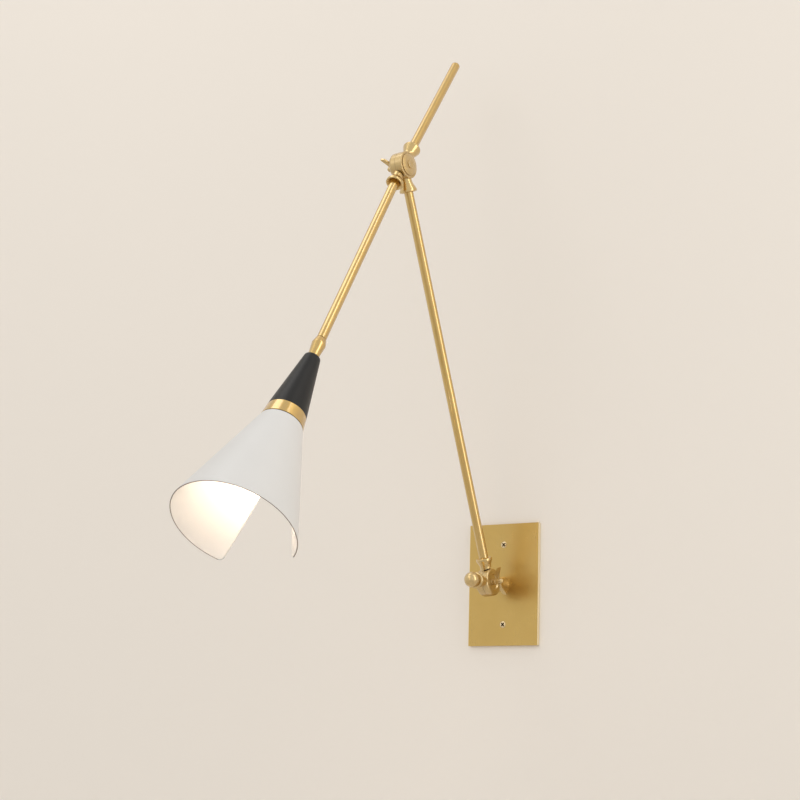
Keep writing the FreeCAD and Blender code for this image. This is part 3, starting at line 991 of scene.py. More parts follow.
def tube_tree() -> Tree:
    """Tube between two points, with inputs Start, End, Radius and Bore.

    Returns:
        The tree.
    """
    t = Tree("tube_between_points")
    ends = {name: t.input(name, "Vector") for name in ("Start", "End")}
    line = t.add("GeometryNodeCurvePrimitiveLine", links=ends)
    bars = []
    for name in ("Radius", "Bore"):
        links = {"Resolution": int(Facets.MIDDLE), "Radius": t.input(name, "Float")}
        ring = t.add("GeometryNodeCurvePrimitiveCircle", links=links)
        links = {"Curve": line, "Profile Curve": ring, "Fill Caps": True}
        bars.append(t.add("GeometryNodeCurveToMesh", links=links))
    links = {"Mesh 1": bars[0], "Mesh 2": bars[1]}
    return t.close(t.add("GeometryNodeMeshBoolean", {"operation": "DIFFERENCE"}, links))


def around_tree() -> Tree:
    """Copies of a piece turned about Z, with inputs Piece and Count.

    Returns:
        The tree.
    """
    t = Tree("copies_around_axis")
    piece, count = t.input("Piece", "Object"), t.input("Count", "Int")
    points = t.add("GeometryNodePoints", links={"Count": count})
    angle = t.add("GeometryNodeInputIndex") / count * (2 * math.pi)
    turn = t.add("ShaderNodeCombineXYZ", links={"Z": angle})
    return t.copies(points, piece, {"Rotation": turn})


def row_tree() -> Tree:
    """Copies of a piece in a row centred on the origin, with inputs Piece, Count and Step.

    Returns:
        The tree.
    """
    t = Tree("copies_in_a_row")
    piece, count = t.input("Piece", "Object"), t.input("Count", "Int")
    step = t.input("Step", "Vector")
    row = t.add("GeometryNodeMeshLine", links={"Count": count, "Offset": step})
    links = {0: step, "Scale": (count - 1.0) * -0.5}
    back = t.add("ShaderNodeVectorMath", {"operation": "SCALE"}, links)
    centred = t.add("GeometryNodeSetPosition", links={"Geometry": row, "Offset": back})
    return t.copies(centred, piece)


def repeated(tree: Tree, solid: Solid, values: dict[str, object]) -> Solid:
    """Runs a tree that copies one solid.

    Args:
        tree: Tree with the input Piece.
        solid: What it copies.
        values: Its other inputs.

    Returns:
        All copies as one solid.
    """
    holder = linked("pattern", solid.mesh)
    made = tree.run({"Piece": holder, **values})
    bpy.data.objects.remove(holder)
    return made


def arc(centre: float, radius: float, first: float, last: float, steps: int = 24) -> list[Spot]:
    """Points of an arc about a spot on the axis, angles in degrees from the axis.

    Args:
        centre: Height of the arc's centre.
        radius: Its radius.
        first: Angle of its first point.
        last: Angle of its last point.
        steps: Number of its chords.

    Returns:
        The points.
    """
    spots = []
    for k in range(steps + 1):
        t = math.radians(first + (last - first) * k / steps)
        across = radius * math.sin(t) if abs(math.sin(t)) > CLEAR else 0.0
        spots.append((across, centre + radius * math.cos(t)))
    return spots


# The lamp's pieces


@dataclass(frozen=True)
class WallPlate:
    """Flat plate on the wall and its two cross-head screws, in millimetres.

    Attributes:
        edge: Rounding of the plate's edges.
        edge_highlight_band: Painted highlight, a paler band along its two upright edges.
        crown: Rise of a screw's head over the plate.
        overlap: Reach of a screw's head into its thread.
        recess: Outline of one slot of its cross.
    """

    width: float = 85.0
    height: float = 127.0
    thickness: float = 3.2
    corner: float = 1.0
    edge: float = 0.45
    edge_highlight_band: float = 0.4
    stem_hole: float = 4.1
    screw_spacing: float = 83.3
    head_radius: float = 3.5
    head_depth: float = 2.2
    head_round: float = 0.12
    crown: float = 0.4
    neck_radius: float = 1.6
    thread_radius: float = 2.0
    thread_depth: float = 0.4
    thread_pitch: float = 1.3
    thread_reach: float = 16.0
    overlap: float = 0.2
    recess: Sequence[Spot] = (
        (-2.4, 4.4), (2.4, 4.4), (2.4, 3.3), (1.2, 1.5), (-1.2, 1.5), (-2.4, 3.3),
    )
    recess_width: float = 1.35

    def plate(self) -> Solid:
        """Plate with rounded edges, the stem's hole and the screws' countersinks.

        Returns:
            The solid.
        """
        w, h, t = self.width / 2, self.height / 2, self.thickness
        corners = [(w, h), (w, -h), (-w, -h), (-w, h)]
        plate = Solid.slab([(*c, self.corner) for c in corners], t, self.edge)
        head, neck, floor = self.head_radius + SEAT, self.thread_radius + SEAT, t - self.head_depth
        sink = [(0, -1), (neck, -1), (neck, floor), (head, t), (head, t + 1), (0, t + 1)]
        tools = [Solid.ring(self.stem_hole, 0, -1, t + 1).at(turn_x(90))]
        for z in (self.screw_spacing / 2, -self.screw_spacing / 2):
            tools.append(Solid.turned(sink, Facets.SMALL).at(shift(0, 0, z) @ turn_x(90)))
        return plate.at(shift(0, -t / 2, 0)).cut(*tools)

    def screw(self) -> Solid:
        """Countersunk screw with a crowned head, a tapered cross recess and a thread.

        Returns:
            The solid.
        """
        r, neck, t, low = self.head_radius, self.neck_radius, self.thickness, -self.overlap
        screw = Solid.turned([
            (0, low), (neck, low), (neck, t - self.head_depth), (r, t, self.head_round),
            (r / 2, t + self.crown * 0.75, r), (0, t + self.crown),
        ], Facets.SMALL)
        for angle in (45, 135):
            screw = screw.cut(Solid.slab(self.recess, self.recess_width).at(turn_z(angle)))
        thread = (self.thread_radius, self.thread_depth, self.thread_pitch)
        return screw.fused(Solid.thread(*thread, -self.thread_reach, 0)).at(turn_x(90))

    def build(self) -> None:
        """Makes and dresses both pieces."""
        # The plate's upright edges carry a painted highlight, a paler and rougher band.
        brass = Brass(
            "plate_brass", body=(0.595, 0.383, 0.09), shade=(0.57, 0.362, 0.08), marks=0.0003,
            coat=0.45, gloss=0.28, mask=("X", (self.width / 2 - self.edge_highlight_band) * MM, 0.5),
        ).material()
        self.plate().seated(
            "wall_plate_sheet", brass, Matrix(), "wall_plate", "satin_brass", "backplate"
        )
        step = {"Count": 2, "Step": (0.0, 0.0, self.screw_spacing)}
        # Dark brass as painted shade in the cross recesses; the crown over the plate is a painted
        # highlight.
        metal = Brass(
            "screw_metal", grain=Grain.CAST, body=(0.13, 0.085, 0.03), shade=(0.1, 0.065, 0.02),
            roughness=0.4, marks=0.000005, coat=0.2, bare=(0.8, 0.62, 0.36),
            mask=("Y", self.thickness * MM - MASK_FADE, 0.25),
        ).material()
        repeated(row_tree(), self.screw(), step).seated(
            "plate_screw_pair", metal, Matrix(), "wall_plate", "screw_brass", "plate_screws"
        )


@dataclass(frozen=True)
class Drum:
    """Drum of a clamped joint with the room inside its halves, in millimetres.

    Attributes:
        seam: Half the gap between the two halves.
        neck_gap: Air round the other half, past a neck.
        boss: Radius of the boss round the bolt, inside the room.
        mouth_wall: Width of a collar's rim.
        cast_edge: Band past the drum that keeps its satin.
        neck_roughness: Roughness of the polished necks.
    """

    radius: float = 14.3
    seam: float = 0.1
    neck_radius: float = 5.8
    neck_start: float = 7.2
    neck_gap: float = 1.0
    bolt_way: float = 2.1
    boss: float = 4.4
    room: float = 9.2
    room_depth: float = 3.7
    disc_inner: float = 10.2
    disc_outer: float = 13.4
    disc_depth: float = 0.6
    socket_start: float = 15.6
    socket_radius: float = 4.8125
    mouth_wall: float = 1.1
    mouth_depth: float = 2.6
    lip_round: float = 0.9
    flare_round: float = 7.0
    cast_edge: float = 0.4
    neck_roughness: float = 0.24

    @property
    def polished(self) -> tuple[str, float, float]:
        """Mask of the necks, polished past the drum's own edge."""
        return ("R", (self.radius + self.cast_edge) * MM, self.neck_roughness)

    def collar(
        self, length: float, lip_radius: float, lip_height: float, flare_height: float
    ) -> Solid:
        """Neck and flared collar on Z, hollow where its tube goes in.

        Args:
            length: From the pivot to the collar's end.
            lip_radius: Radius of its lip.
            lip_height: Height of the lip's straight rim.
            flare_height: Height of the flare below it.

        Returns:
            The solid.
        """
        lip, socket = length - lip_height, self.socket_radius
        return Solid.turned([
            (0, self.neck_start), (self.neck_radius, self.neck_start),
            (self.neck_radius, lip - flare_height, self.flare_round),
            (lip_radius, lip, self.lip_round), (lip_radius, length, self.lip_round),
            (lip_radius - self.mouth_wall, length), (socket, length - self.mouth_depth),
            (socket, self.socket_start), (0, self.socket_start),
        ])

    def half(
        self, side: int, outside: Sequence[Spot], necks: Sequence[tuple[Solid, Matrix]]
    ) -> Solid:
        """One half of the drum with its necks.

        Args:
            side: 1 for the half on +X, -1 for the other one.
            outside: Outline of its outside, from the rim to the axis.
            necks: Necks and the way that each one points.

        Returns:
            The solid.
        """
        laid = turn_y(90 * side)
        outline = [(0, self.seam), (self.radius, self.seam), *outside]
        body = Solid.turned(outline, Facets.LARGE).at(laid)
        clear = self.radius + self.neck_gap
        for neck, way in necks:
            other = Solid.ring(clear, 0, -self.seam, self.radius).at(turn_y(-90 * side))
            body = body.fused(neck.at(way).cut(other))
        tools = (
            Solid.ring(self.room, self.boss, -1, self.room_depth),
            Solid.ring(self.bolt_way, 0, -1, self.radius),
            Solid.ring(self.disc_outer, self.disc_inner, -1, self.disc_depth),
        )
        return body.cut(*(tool.at(laid) for tool in tools))


DRUM = Drum()
ROUNDED_BACK: tuple[Spot, ...] = ((14.3, 9.0, 3.9), (0, 9.0))
RIMMED_FACE: tuple[Spot, ...] = (
    (14.3, 6.0, 2.6), (8.1, 6.0, 0.4), (6.9, 4.8, 0.3), (2.9, 4.8, 0.2), (2.9, 7.4, 0.15),
    (0, 7.4),
)
CROWNED_FACE: tuple[Spot, ...] = (
    (14.3, 7.8, 0.9), (12.3, 7.8, 0.12), (12.2, 7.3), (11.7, 7.3), (11.6, 8.43, 0.475),
    (8.58, 9.47, 6.0), (4.5, 9.7), (0, 9.7),
)


@dataclass(frozen=True)
class Stem:
    """Hub on the plate with its finial, and what holds it behind the plate, in millimetres.

    Heights run from the base pivot, towards the wall or into the room.

    Attributes:
        stud_grip: Reach of the ball's stud into the hub.
        tube_reach: Reach of the threaded tube past the wall.
        strip_length: Bared end of each core.
        wire_share: Radius of the bared wire as a share of the core's.
    """

    plate_front: float = 27.3
    foot_radius: float = 8.1
    foot_height: float = 1.6
    foot_flare: float = 8.0
    step_radius: float = 6.9
    step_height: float = 2.4
    step_round: float = 0.8
    ring_start: float = 22.8
    ring_radius: float = 8.3
    ring_height: float = 4.0
    ring_round: float = 1.7
    ball_radius: float = 7.9
    ball_centre: float = 33.1
    stud_radius: float = 2.5
    stud_grip: float = 6.0
    tube_radius: float = 4.0
    tube_bore: float = 2.9
    tube_start: float = 15.3
    tube_reach: float = 11.0
    thread_depth: float = 0.35
    thread_pitch: float = 1.0
    washer_radius: float = 8.5
    washer_height: float = 1.2
    washer_round: float = 0.3
    nut_flats: float = 13.0
    nut_height: float = 4.0
    cable_radius: float = 2.6
    cable_start: float = 14.6
    sheath_end: float = 45.0
    core_radius: float = 0.85
    core_offset: float = 1.15
    core_end: float = 50.5
    strip_length: float = 2.0
    wire_share: float = 0.6

    def hub(self) -> Solid:
        """Rimmed half of the base joint with the foot and the finial's neck.

        Returns:
            The solid.
        """
        d, front, ring = DRUM, self.plate_front, self.ring_start
        root = [(0, d.neck_start), (d.neck_radius, d.neck_start)]
        bell, step = front - self.foot_height, ring - self.step_height
        foot = Solid.turned([
            *root, (d.neck_radius, bell - self.foot_flare, d.flare_round),
            (self.foot_radius, bell, d.lip_round), (self.foot_radius, front), (0, front),
        ])
        nose = Solid.turned([
            *root, (d.neck_radius, step), (self.step_radius, step, self.step_round),
            (self.step_radius, ring, self.step_round), (0, ring),
        ])
        hub = d.half(1, RIMMED_FACE, [(foot, turn_x(-90)), (nose, turn_x(90))])
        socket = Solid.ring(self.tube_radius + SEAT, 0, self.tube_start, front + 1)
        stud_way = Solid.ring(self.stud_radius + SEAT, 0, ring - self.stud_grip, ring + 1)
        return hub.cut(socket.at(turn_x(-90)), stud_way.at(turn_x(90)))

    def ball(self) -> Solid:
        """Ball on its stud.

        Returns:
            The solid.
        """
        seat_at = self.ring_start + self.ring_height
        away = math.degrees(math.acos((seat_at - self.ball_centre) / self.ball_radius))
        start = self.ring_start - self.stud_grip
        return Solid.turned([
            (0, start), (self.stud_radius, start), (self.stud_radius, seat_at),
            *arc(self.ball_centre, self.ball_radius, away, 0, 40),
        ])

    def build(self) -> None:
        """Makes and dresses the pieces."""
        cast = Cast("base_hub_brass", PLACES.stem, mask=DRUM.polished).material()
        turned = Cast(
            "finial_brass", PLACES.to_room, Grain.AROUND, roughness=0.32, marks=0.000008
        ).material()
        self.hub().seated(
            "base_hub_casting", cast, PLACES.stem, "stem", "polished_brass", "base_hub"
        )
        low, high = self.ring_start, self.ring_start + self.ring_height
        ring = Solid.ring(self.ring_radius, self.stud_radius + SEAT, low, high, self.ring_round)
        for solid, name, node in (
            (ring, "finial_ring_turned", "finial_ring"),
            (self.ball(), "finial_ball_turned", "ball_finial"),
        ):
            solid.seated(name, turned, PLACES.to_room, "stem", "polished_brass", node)
        self._fixings()
        self._cable()

    def _fixings(self) -> None:
        """Threaded tube with the washer and the nut behind the plate."""
        zinc = Plain("zinc_plate", (0.62, 0.63, 0.64), (0.5, 0.51, 0.53), 0.36, 1.0, 500.0)
        material = zinc.material()
        wall, bore = PLACES.standoff, self.tube_radius + SEAT
        start, end = self.tube_start, wall + self.tube_reach
        tube = Solid.thread(self.tube_radius, self.thread_depth, self.thread_pitch, start, end)
        tube = tube.cut(Solid.ring(self.tube_bore, 0, start - 1, end + 1))
        top = wall + self.washer_height
        washer = Solid.ring(self.washer_radius, bore, wall, top, self.washer_round)
        nut = Solid.prism(6, self.nut_flats, top, top + self.nut_height)
        nut = nut.cut(Solid.ring(bore, 0, top - 1, top + self.nut_height + 1))
        for solid, name, node in (
            (tube, "stem_threaded_tube", "stem_tube"),
            (washer, "stem_washer_flat", "stem_washer"),
            (nut, "stem_hex_nut", "stem_locknut"),
        ):
            solid.seated(name, material, PLACES.to_wall, "stem", "zinc_steel", node)

    def _cable(self) -> None:
        """Cable that leaves the stem, with its sheath cut back from three cores."""
        r, low, high, place = self.cable_radius, self.cable_start, self.sheath_end, PLACES.to_wall
        sheath = Solid.turned([(0, low), (r, low), (r, high, 0.3), (0, high)], Facets.CABLE)
        grey = Plain("cable_sheath_plastic", *CABLE_GREY, 0.5).material()
        sheath.seated("cable_sheath", grey, place, "stem", "cable_sheath", "stem_cable")
        thick, bared = self.core_radius, self.core_end - self.strip_length
        thin = thick * self.wire_share
        core = Solid.turned([
            (0, high - 1), (thick, high - 1), (thick, bared, 0.1),
            (thin, bared), (thin, self.core_end, 0.1), (0, self.core_end),
        ], Facets.WIRE).at(shift(self.core_offset, 0, 0))
        copper = Plain("core_ends", (0.55, 0.27, 0.13), (0.42, 0.2, 0.1), 0.4, 1.0).material()
        cores = repeated(around_tree(), core, {"Count": 3})
        cores.seated("cable_cores", copper, place, "stem", "lead_sheath")


@dataclass(frozen=True)
class WingClamp:
    """Clamp bolt and wing nut of a joint, in millimetres.

    Attributes:
        base_turn: Wings of the base joint's nut from upright, in degrees.
        elbow_turn: Wings of the elbow's nut from upright, in degrees.
        seat_gap: Air between a nut and the drum, so that it turns without rubbing.
    """

    bolt_radius: float = 2.0
    bolt_air: float = 0.4
    head_radius: float = 4.5
    head_height: float = 1.0
    head_round: float = 0.5
    dimple_radius: float = 2.6
    dimple_depth: float = 0.6
    thread_depth: float = 0.3
    thread_pitch: float = 0.7
    thread_length: float = 5.0
    boss_radius: float = 3.2
    boss_height: float = 1.0
    hub_radius: float = 2.7
    hub_height: float = 6.8
    tip_radius: float = 2.8
    bore: float = 2.1
    wing_thickness: float = 1.8
    wing_edge: float = 0.6
    seat_gap: float = 0.02
    base_turn: float = 22.3
    elbow_turn: float = 57.0
    wing: Sequence[Spot] = (
        (1.54, 2.54), (9.24, 2.97, 1.6), (13.86, 5.83, 1.6),
        (15.4, 10.6, 0.8), (6.16, 6.36, 1.6), (1.54, 5.94),
    )

    def bolt(self, seat_at: float, nut_seat: float) -> Solid:
        """Bolt on Z with a dimpled round head outside its seat.

        Args:
            seat_at: Height of the head's seat.
            nut_seat: Depth of the nut's seat on the other side.

        Returns:
            The solid.
        """
        end, top = -nut_seat - self.hub_height + self.bolt_air, seat_at + self.head_height
        shank_end = end + (self.thread_length - 1)
        shank = Solid.turned([
            (0, shank_end), (self.bolt_radius, shank_end), (self.bolt_radius, seat_at),
            (self.head_radius, seat_at), (self.head_radius, top, self.head_round),
            (self.dimple_radius, top, 0.3), (0, top - self.dimple_depth),
        ])
        thread = (self.bolt_radius, self.thread_depth, self.thread_pitch)
        return shank.fused(Solid.thread(*thread, end, end + self.thread_length))

    def nut(self) -> Solid:
        """Wing nut seated at zero with a round closed end and its wings along X.

        Returns:
            The solid.
        """
        widest = 180 - math.degrees(math.asin(self.hub_radius / self.tip_radius))
        body = Solid.turned([
            (0, 0), (self.boss_radius, 0), (self.boss_radius, self.boss_height, 0.33),
            (self.hub_radius, self.boss_height * 1.5),
            *arc(self.hub_height, self.tip_radius, widest, 0),
        ], Facets.SMALL)
        wing = Solid.slab(self.wing, self.wing_thickness, self.wing_edge)
        wings = repeated(around_tree(), wing, {"Count": 2})
        return body.fused(wings).cut(Solid.ring(self.bore, 0, -1, self.hub_height))

    def build(self) -> None:
        """Makes and dresses both joints' bolts and nuts."""
        rim, back, crown = (face[-1][1] for face in (RIMMED_FACE, ROUNDED_BACK, CROWNED_FACE))
        base_nut = PLACES.stem @ turn_x(self.base_turn) @ shift(rim + self.seat_gap, 0, 0)
        elbow_nut = PLACES.elbow @ turn_x(self.elbow_turn) @ shift(-back - self.seat_gap, 0, 0)
        brass = Cast("clamp_brass", roughness=0.28, gloss=0.15).material()
        for solid, name, place, turn, body, node in (
            (self.bolt(back, rim), "base_bolt_turned", PLACES.arm, -90, "arm", "base_clamp_bolt"),
            (self.bolt(crown, back), "elbow_bolt_turned", PLACES.elbow_arm, 90,
             "arm", "elbow_clamp_bolt"),
            (self.nut(), "base_wing_nut_cast", base_nut, 90, "base_nut", "base_wing_nut"),
            (self.nut(), "elbow_wing_nut_cast", elbow_nut, -90, "elbow_nut", "elbow_wing_nut"),
        ):
            solid.seated(name, brass, place @ turn_y(turn), body, "polished_brass", node)


@dataclass(frozen=True)
class Tubes:
    """Size of the brass tubes, in millimetres."""

    radius: float = 4.7625
    bore: float = 3.7625

    def between(self, low: float, high: float) -> Solid:
        """Tube on Z, made by the tube tree."""
        ends = {"Start": (0.0, 0.0, low), "End": (0.0, 0.0, high)}
        return tube_tree().run({**ends, "Radius": self.radius, "Bore": self.bore})


TUBES = Tubes()


@dataclass(frozen=True)
class Arm:
    """Arm tube with a joint half at each end, in millimetres."""

    base_collar: Spot = (25.8, 8.3, 2.6, 5.0)
    top_collar: Spot = (27.4, 9.1, 2.4, 7.5)

    def build(self) -> None:
        """Makes and dresses the pieces."""
        low, high, line, off = PLACES.arm, PLACES.elbow_arm, PLACES.arm_line, PLACES.neck_offset
        low_cast = Cast("arm_knuckle_brass", low, mask=DRUM.polished).material()
        high_cast = Cast("elbow_cup_brass", high, mask=DRUM.polished).material()
        drawn = Brass("arm_tube_brass", line).material()
        low_neck = (DRUM.collar(*self.base_collar), shift(-off, 0, 0))
        knuckle = DRUM.half(-1, ROUNDED_BACK, [low_neck])
        knuckle.seated("arm_knuckle_casting", low_cast, low, "arm", "polished_brass", "arm_knuckle")
        high_neck = (DRUM.collar(*self.top_collar), shift(off, 0, 0) @ turn_x(180))
        cup = DRUM.half(1, CROWNED_FACE, [high_neck])
        cup.seated("elbow_cup_casting", high_cast, high, "arm", "polished_brass", "elbow_cup")
        tube = TUBES.between(DRUM.socket_start, PLACES.arm_length - DRUM.socket_start)
        tube.seated("arm_tube_drawn", drawn, line, "arm", "polished_brass", "arm_tube")


@dataclass(frozen=True)
class Rod:
    """Crossing rod with the elbow's second half, the lamp's tube and the tail, in millimetres.

    Attributes:
        plug_length: Reach of the end cap into the tail.
        rod_collar: Length, lip's radius, lip's height and flare's height of the lower collar.
        tail_collar: The same of the upper collar.
    """

    tail_end: float = 181.0
    cap_height: float = 3.4
    cap_round: float = 2.6
    plug_length: float = 9.0
    plug_round: float = 0.5
    rod_collar: Spot = (27.9, 8.9, 2.6, 4.5)
    tail_collar: Spot = (30.0, 9.2, 1.9, 9.5)

    def build(self) -> None:
        """Makes and dresses the pieces."""
        p = PLACES
        rod_way = shift(-p.neck_offset, 0, 0) @ turn_x(180 - p.rod_lean)
        tail_way = turn_x(-p.rod_lean - p.tail_cant)
        necks = [
            (DRUM.collar(*self.rod_collar), rod_way), (DRUM.collar(*self.tail_collar), tail_way),
        ]
        cast = Cast("elbow_hub_brass", p.elbow, mask=DRUM.polished).material()
        hub = DRUM.half(-1, ROUNDED_BACK, necks)
        hub.seated("elbow_hub_casting", cast, p.elbow, "rod", "polished_brass", "elbow_hub")
        drawn = Brass("rod_tube_brass", p.rod).material()
        tube = TUBES.between(DRUM.socket_start, p.rod_end)
        tube.seated("rod_tube_drawn", drawn, p.rod, "rod", "polished_brass", "rod_tube")
        drawn = Brass("tail_tube_brass", p.tail).material()
        cap_start = self.tail_end - self.cap_height
        tube = TUBES.between(DRUM.socket_start, cap_start)
        tube.seated("tail_tube_drawn", drawn, p.tail, "rod", "polished_brass", "tail_rod")
        plug, plug_start = TUBES.bore - SEAT, cap_start - self.plug_length
        cap = Solid.turned([
            (0, plug_start), (plug, plug_start, self.plug_round), (plug, cap_start),
            (TUBES.radius, cap_start), (TUBES.radius, self.tail_end, self.cap_round),
            (0, self.tail_end),
        ])
        cap.seated("tail_cap_turned", drawn, p.tail, "rod", "polished_brass", "tail_end_cap")


@dataclass(frozen=True)
class Swivel:
    """Stud in the rod's end and the vase that turns on it, in millimetres.

    Attributes:
        plug_length: Reach of the stud into the rod.
        groove: Gap between the stud's shoulder and the vase.
        room: Outline of the vase's inside round the stud's nut.
    """

    plug_length: float = 12.0
    shoulder: float = 0.8
    groove: float = 1.0
    stud_radius: float = 3.4
    stud_bore: float = 2.4
    stud_end: float = 267.5
    running_gap: float = 0.1
    top_radius: float = 5.4
    belly_radius: float = 6.95
    belly_drop: float = 6.4
    belly_round: float = 3.5
    foot_radius: float = 5.0
    room: Sequence[Spot] = ((4.05, 270.5), (4.8, 270.5), (4.8, 264.2), (3.5, 264.2))

    def build(self) -> None:
        """Makes and dresses the stud and the vase."""
        plug, end, foot = TUBES.bore - SEAT, PLACES.rod_end, PLACES.cone_top
        start, step = end - self.plug_length, end + self.shoulder
        top = step + self.groove
        stud = Solid.turned([
            (self.stud_bore, start), (plug, start), (plug, end), (TUBES.radius, end),
            (TUBES.radius, step, 0.2), (self.stud_radius, step),
            (self.stud_radius, self.stud_end), (self.stud_bore, self.stud_end),
        ])
        vase = Solid.turned([
            (self.stud_radius + self.running_gap, top), (self.top_radius, top, 0.33),
            (self.belly_radius, top + self.belly_drop, self.belly_round),
            (self.foot_radius, foot, 0.2), (NIPPLE_WAY, foot), *self.room,
        ])
        brass = Brass("swivel_brass", PLACES.rod, Grain.AROUND, marks=0.000008).material()
        # Past its shoulder the stud's neck is dark, painted shade in the groove under the vase.
        groove_shaded_brass = Brass(
            "swivel_stud_brass", PLACES.rod, Grain.AROUND, marks=0.000008,
            bare=(0.12, 0.075, 0.03), mask=("Z", (step + SEAT) * MM, 0.4),
        ).material()
        for solid, name, metal, body, node in (
            (stud, "swivel_stud_turned", groove_shaded_brass, "rod", "swivel_stud"),
            (vase, "swivel_vase_turned", brass, "head", "swivel_vase"),
        ):
            solid.seated(name, metal, PLACES.rod, body, "polished_brass", node)


@dataclass(frozen=True)
class Neck:
    """Black cone and the brass ring at its foot, in millimetres.

    Attributes:
        foot: Cone's foot, down the rod's line.
        spigot_height: Reach of the ring into the cone.
    """

    foot: float = 352.0
    top_radius: float = 8.0
    foot_radius: float = 19.4
    edge: float = 1.5
    wall: float = 1.215
    top_wall: float = 2.4
    ring_height: float = 13.3
    ring_radius: float = 21.1
    ring_wall: float = 1.3
    spigot_height: float = 5.0
    spigot_wall: float = 1.0

    def build(self) -> None:
        """Makes and dresses the cone and the ring."""
        top, foot, wide = PLACES.cone_top, self.foot, self.foot_radius
        slope = (wide - self.top_radius) / (foot - top)
        ceiling = top + self.top_wall
        cone = Solid.turned([
            (NIPPLE_WAY, top), (self.top_radius, top, self.edge), (wide, foot, 0.25),
            (wide - self.wall, foot),
            (self.top_radius + slope * self.top_wall - self.wall, ceiling), (NIPPLE_WAY, ceiling),
        ], Facets.LARGE)
        out = wide - self.wall - SEAT
        end, start, inside = foot + self.ring_height, foot - self.spigot_height, self.ring_wall
        narrow = out - slope * self.spigot_height
        ring = Solid.turned([
            (out, foot), (wide, foot, 0.3), (self.ring_radius, end, 0.3),
            (self.ring_radius - inside, end), (wide - inside - self.spigot_wall, foot),
            (narrow - self.spigot_wall, start), (narrow, start),
        ], Facets.LARGE)
        black = Paint(
            "cone_black_paint", (0.009, 0.009, 0.0095), (0.012, 0.012, 0.0125), specular=0.28
        ).material()
        cone.seated("neck_cone_spun", black, PLACES.rod, "head", "black_paint", "neck_cone")
        brass = Brass("shade_ring_brass", PLACES.rod, Grain.AROUND, marks=0.000012).material()
        ring.seated("shade_ring_turned", brass, PLACES.rod, "head", "polished_brass", "shade_ring")


@dataclass(frozen=True)
class Shade:
    """White conical shade with its fitter flange and its slit, in millimetres.

    Attributes:
        sheet: Thickness of the cone, measured across the rod's line.
        slit_tip_half: Half the slit's width at its tip.
        slit_rim_half: Half the slit's width at the rim.
        seat_shade_height: Height above the top that gets painted shade, at the seat under the ring.
        rim_band_height: Height below the rim that gets a darker band.
    """

    top: float = 365.9
    rim: float = 486.6
    top_radius: float = 21.1
    rim_radius: float = 59.25
    rim_round: float = 0.4
    wall: float = 1.0
    sheet: float = 1.0487
    flange_start: float = 356.6
    flange_hole: float = 13.0
    collar_start: float = 17.388
    collar_end: float = 19.0
    collar_top: float = 365.3
    slit_tip: float = 373.9
    slit_tip_half: float = 2.8
    slit_tip_round: float = 2.52
    slit_rim_half: float = 37.1
    slit_corner: float = 6.0
    seat_shade_height: float = 0.6
    rim_band_height: float = 0.3

    def cone(self) -> Solid:
        """Sheet of the shade with its flange, before the slit.

        Returns:
            The solid.
        """
        wall, sheet, end = self.wall, self.sheet, self.collar_end
        slope = (self.rim_radius - self.top_radius) / (self.rim - self.top)
        inner_top, flange = self.top + wall, self.flange_start + wall
        return Solid.turned([
            (self.flange_hole, self.flange_start), (self.collar_start, self.flange_start, wall),
            (end, self.collar_top), (end, self.top), (self.top_radius, self.top, 0.3),
            (self.rim_radius, self.rim, self.rim_round),
            (self.rim_radius - sheet, self.rim, self.rim_round),
            (self.top_radius - sheet + slope * wall, inner_top), (end - wall, inner_top),
            (self.collar_start - wall, flange), (self.flange_hole, flange),
        ], Facets.SHADE)

    def slit(self) -> Solid:
        """Wedge that cuts the slit, with its round tip, out to past the rim.

        Returns:
            The solid.
        """
        side, past = self.rim_radius + 2, self.rim + 2
        half = [
            (self.slit_tip_half, self.slit_tip, self.slit_tip_round),
            (self.slit_rim_half, self.rim, self.slit_corner), (side, self.rim), (side, past),
        ]
        mirrored = [(-p[0], *p[1:]) for p in reversed(half)]
        return Solid.slab(half + mirrored, side).at(shift(0, -side / 2, 0))

    def build(self) -> None:
        """Makes and dresses the shade."""
        place = PLACES.rod @ turn_z(-PLACES.shade_turn)
        # The seat under the brass ring is painted shade; the rim gets a darker band.
        painted = ((self.top + self.seat_shade_height) * MM, (self.rim - self.rim_band_height) * MM)
        white = Paint(
            "shade_white_paint", (0.665, 0.66, 0.65), (0.65, 0.645, 0.635),
            peel_scale=1500.0, place=place, painted=painted,
        ).material()
        made = self.cone().cut(self.slit()).softened(0.22, 50)
        made.seated("shade_spun_sheet", white, place, "head", "white_paint", "shade")


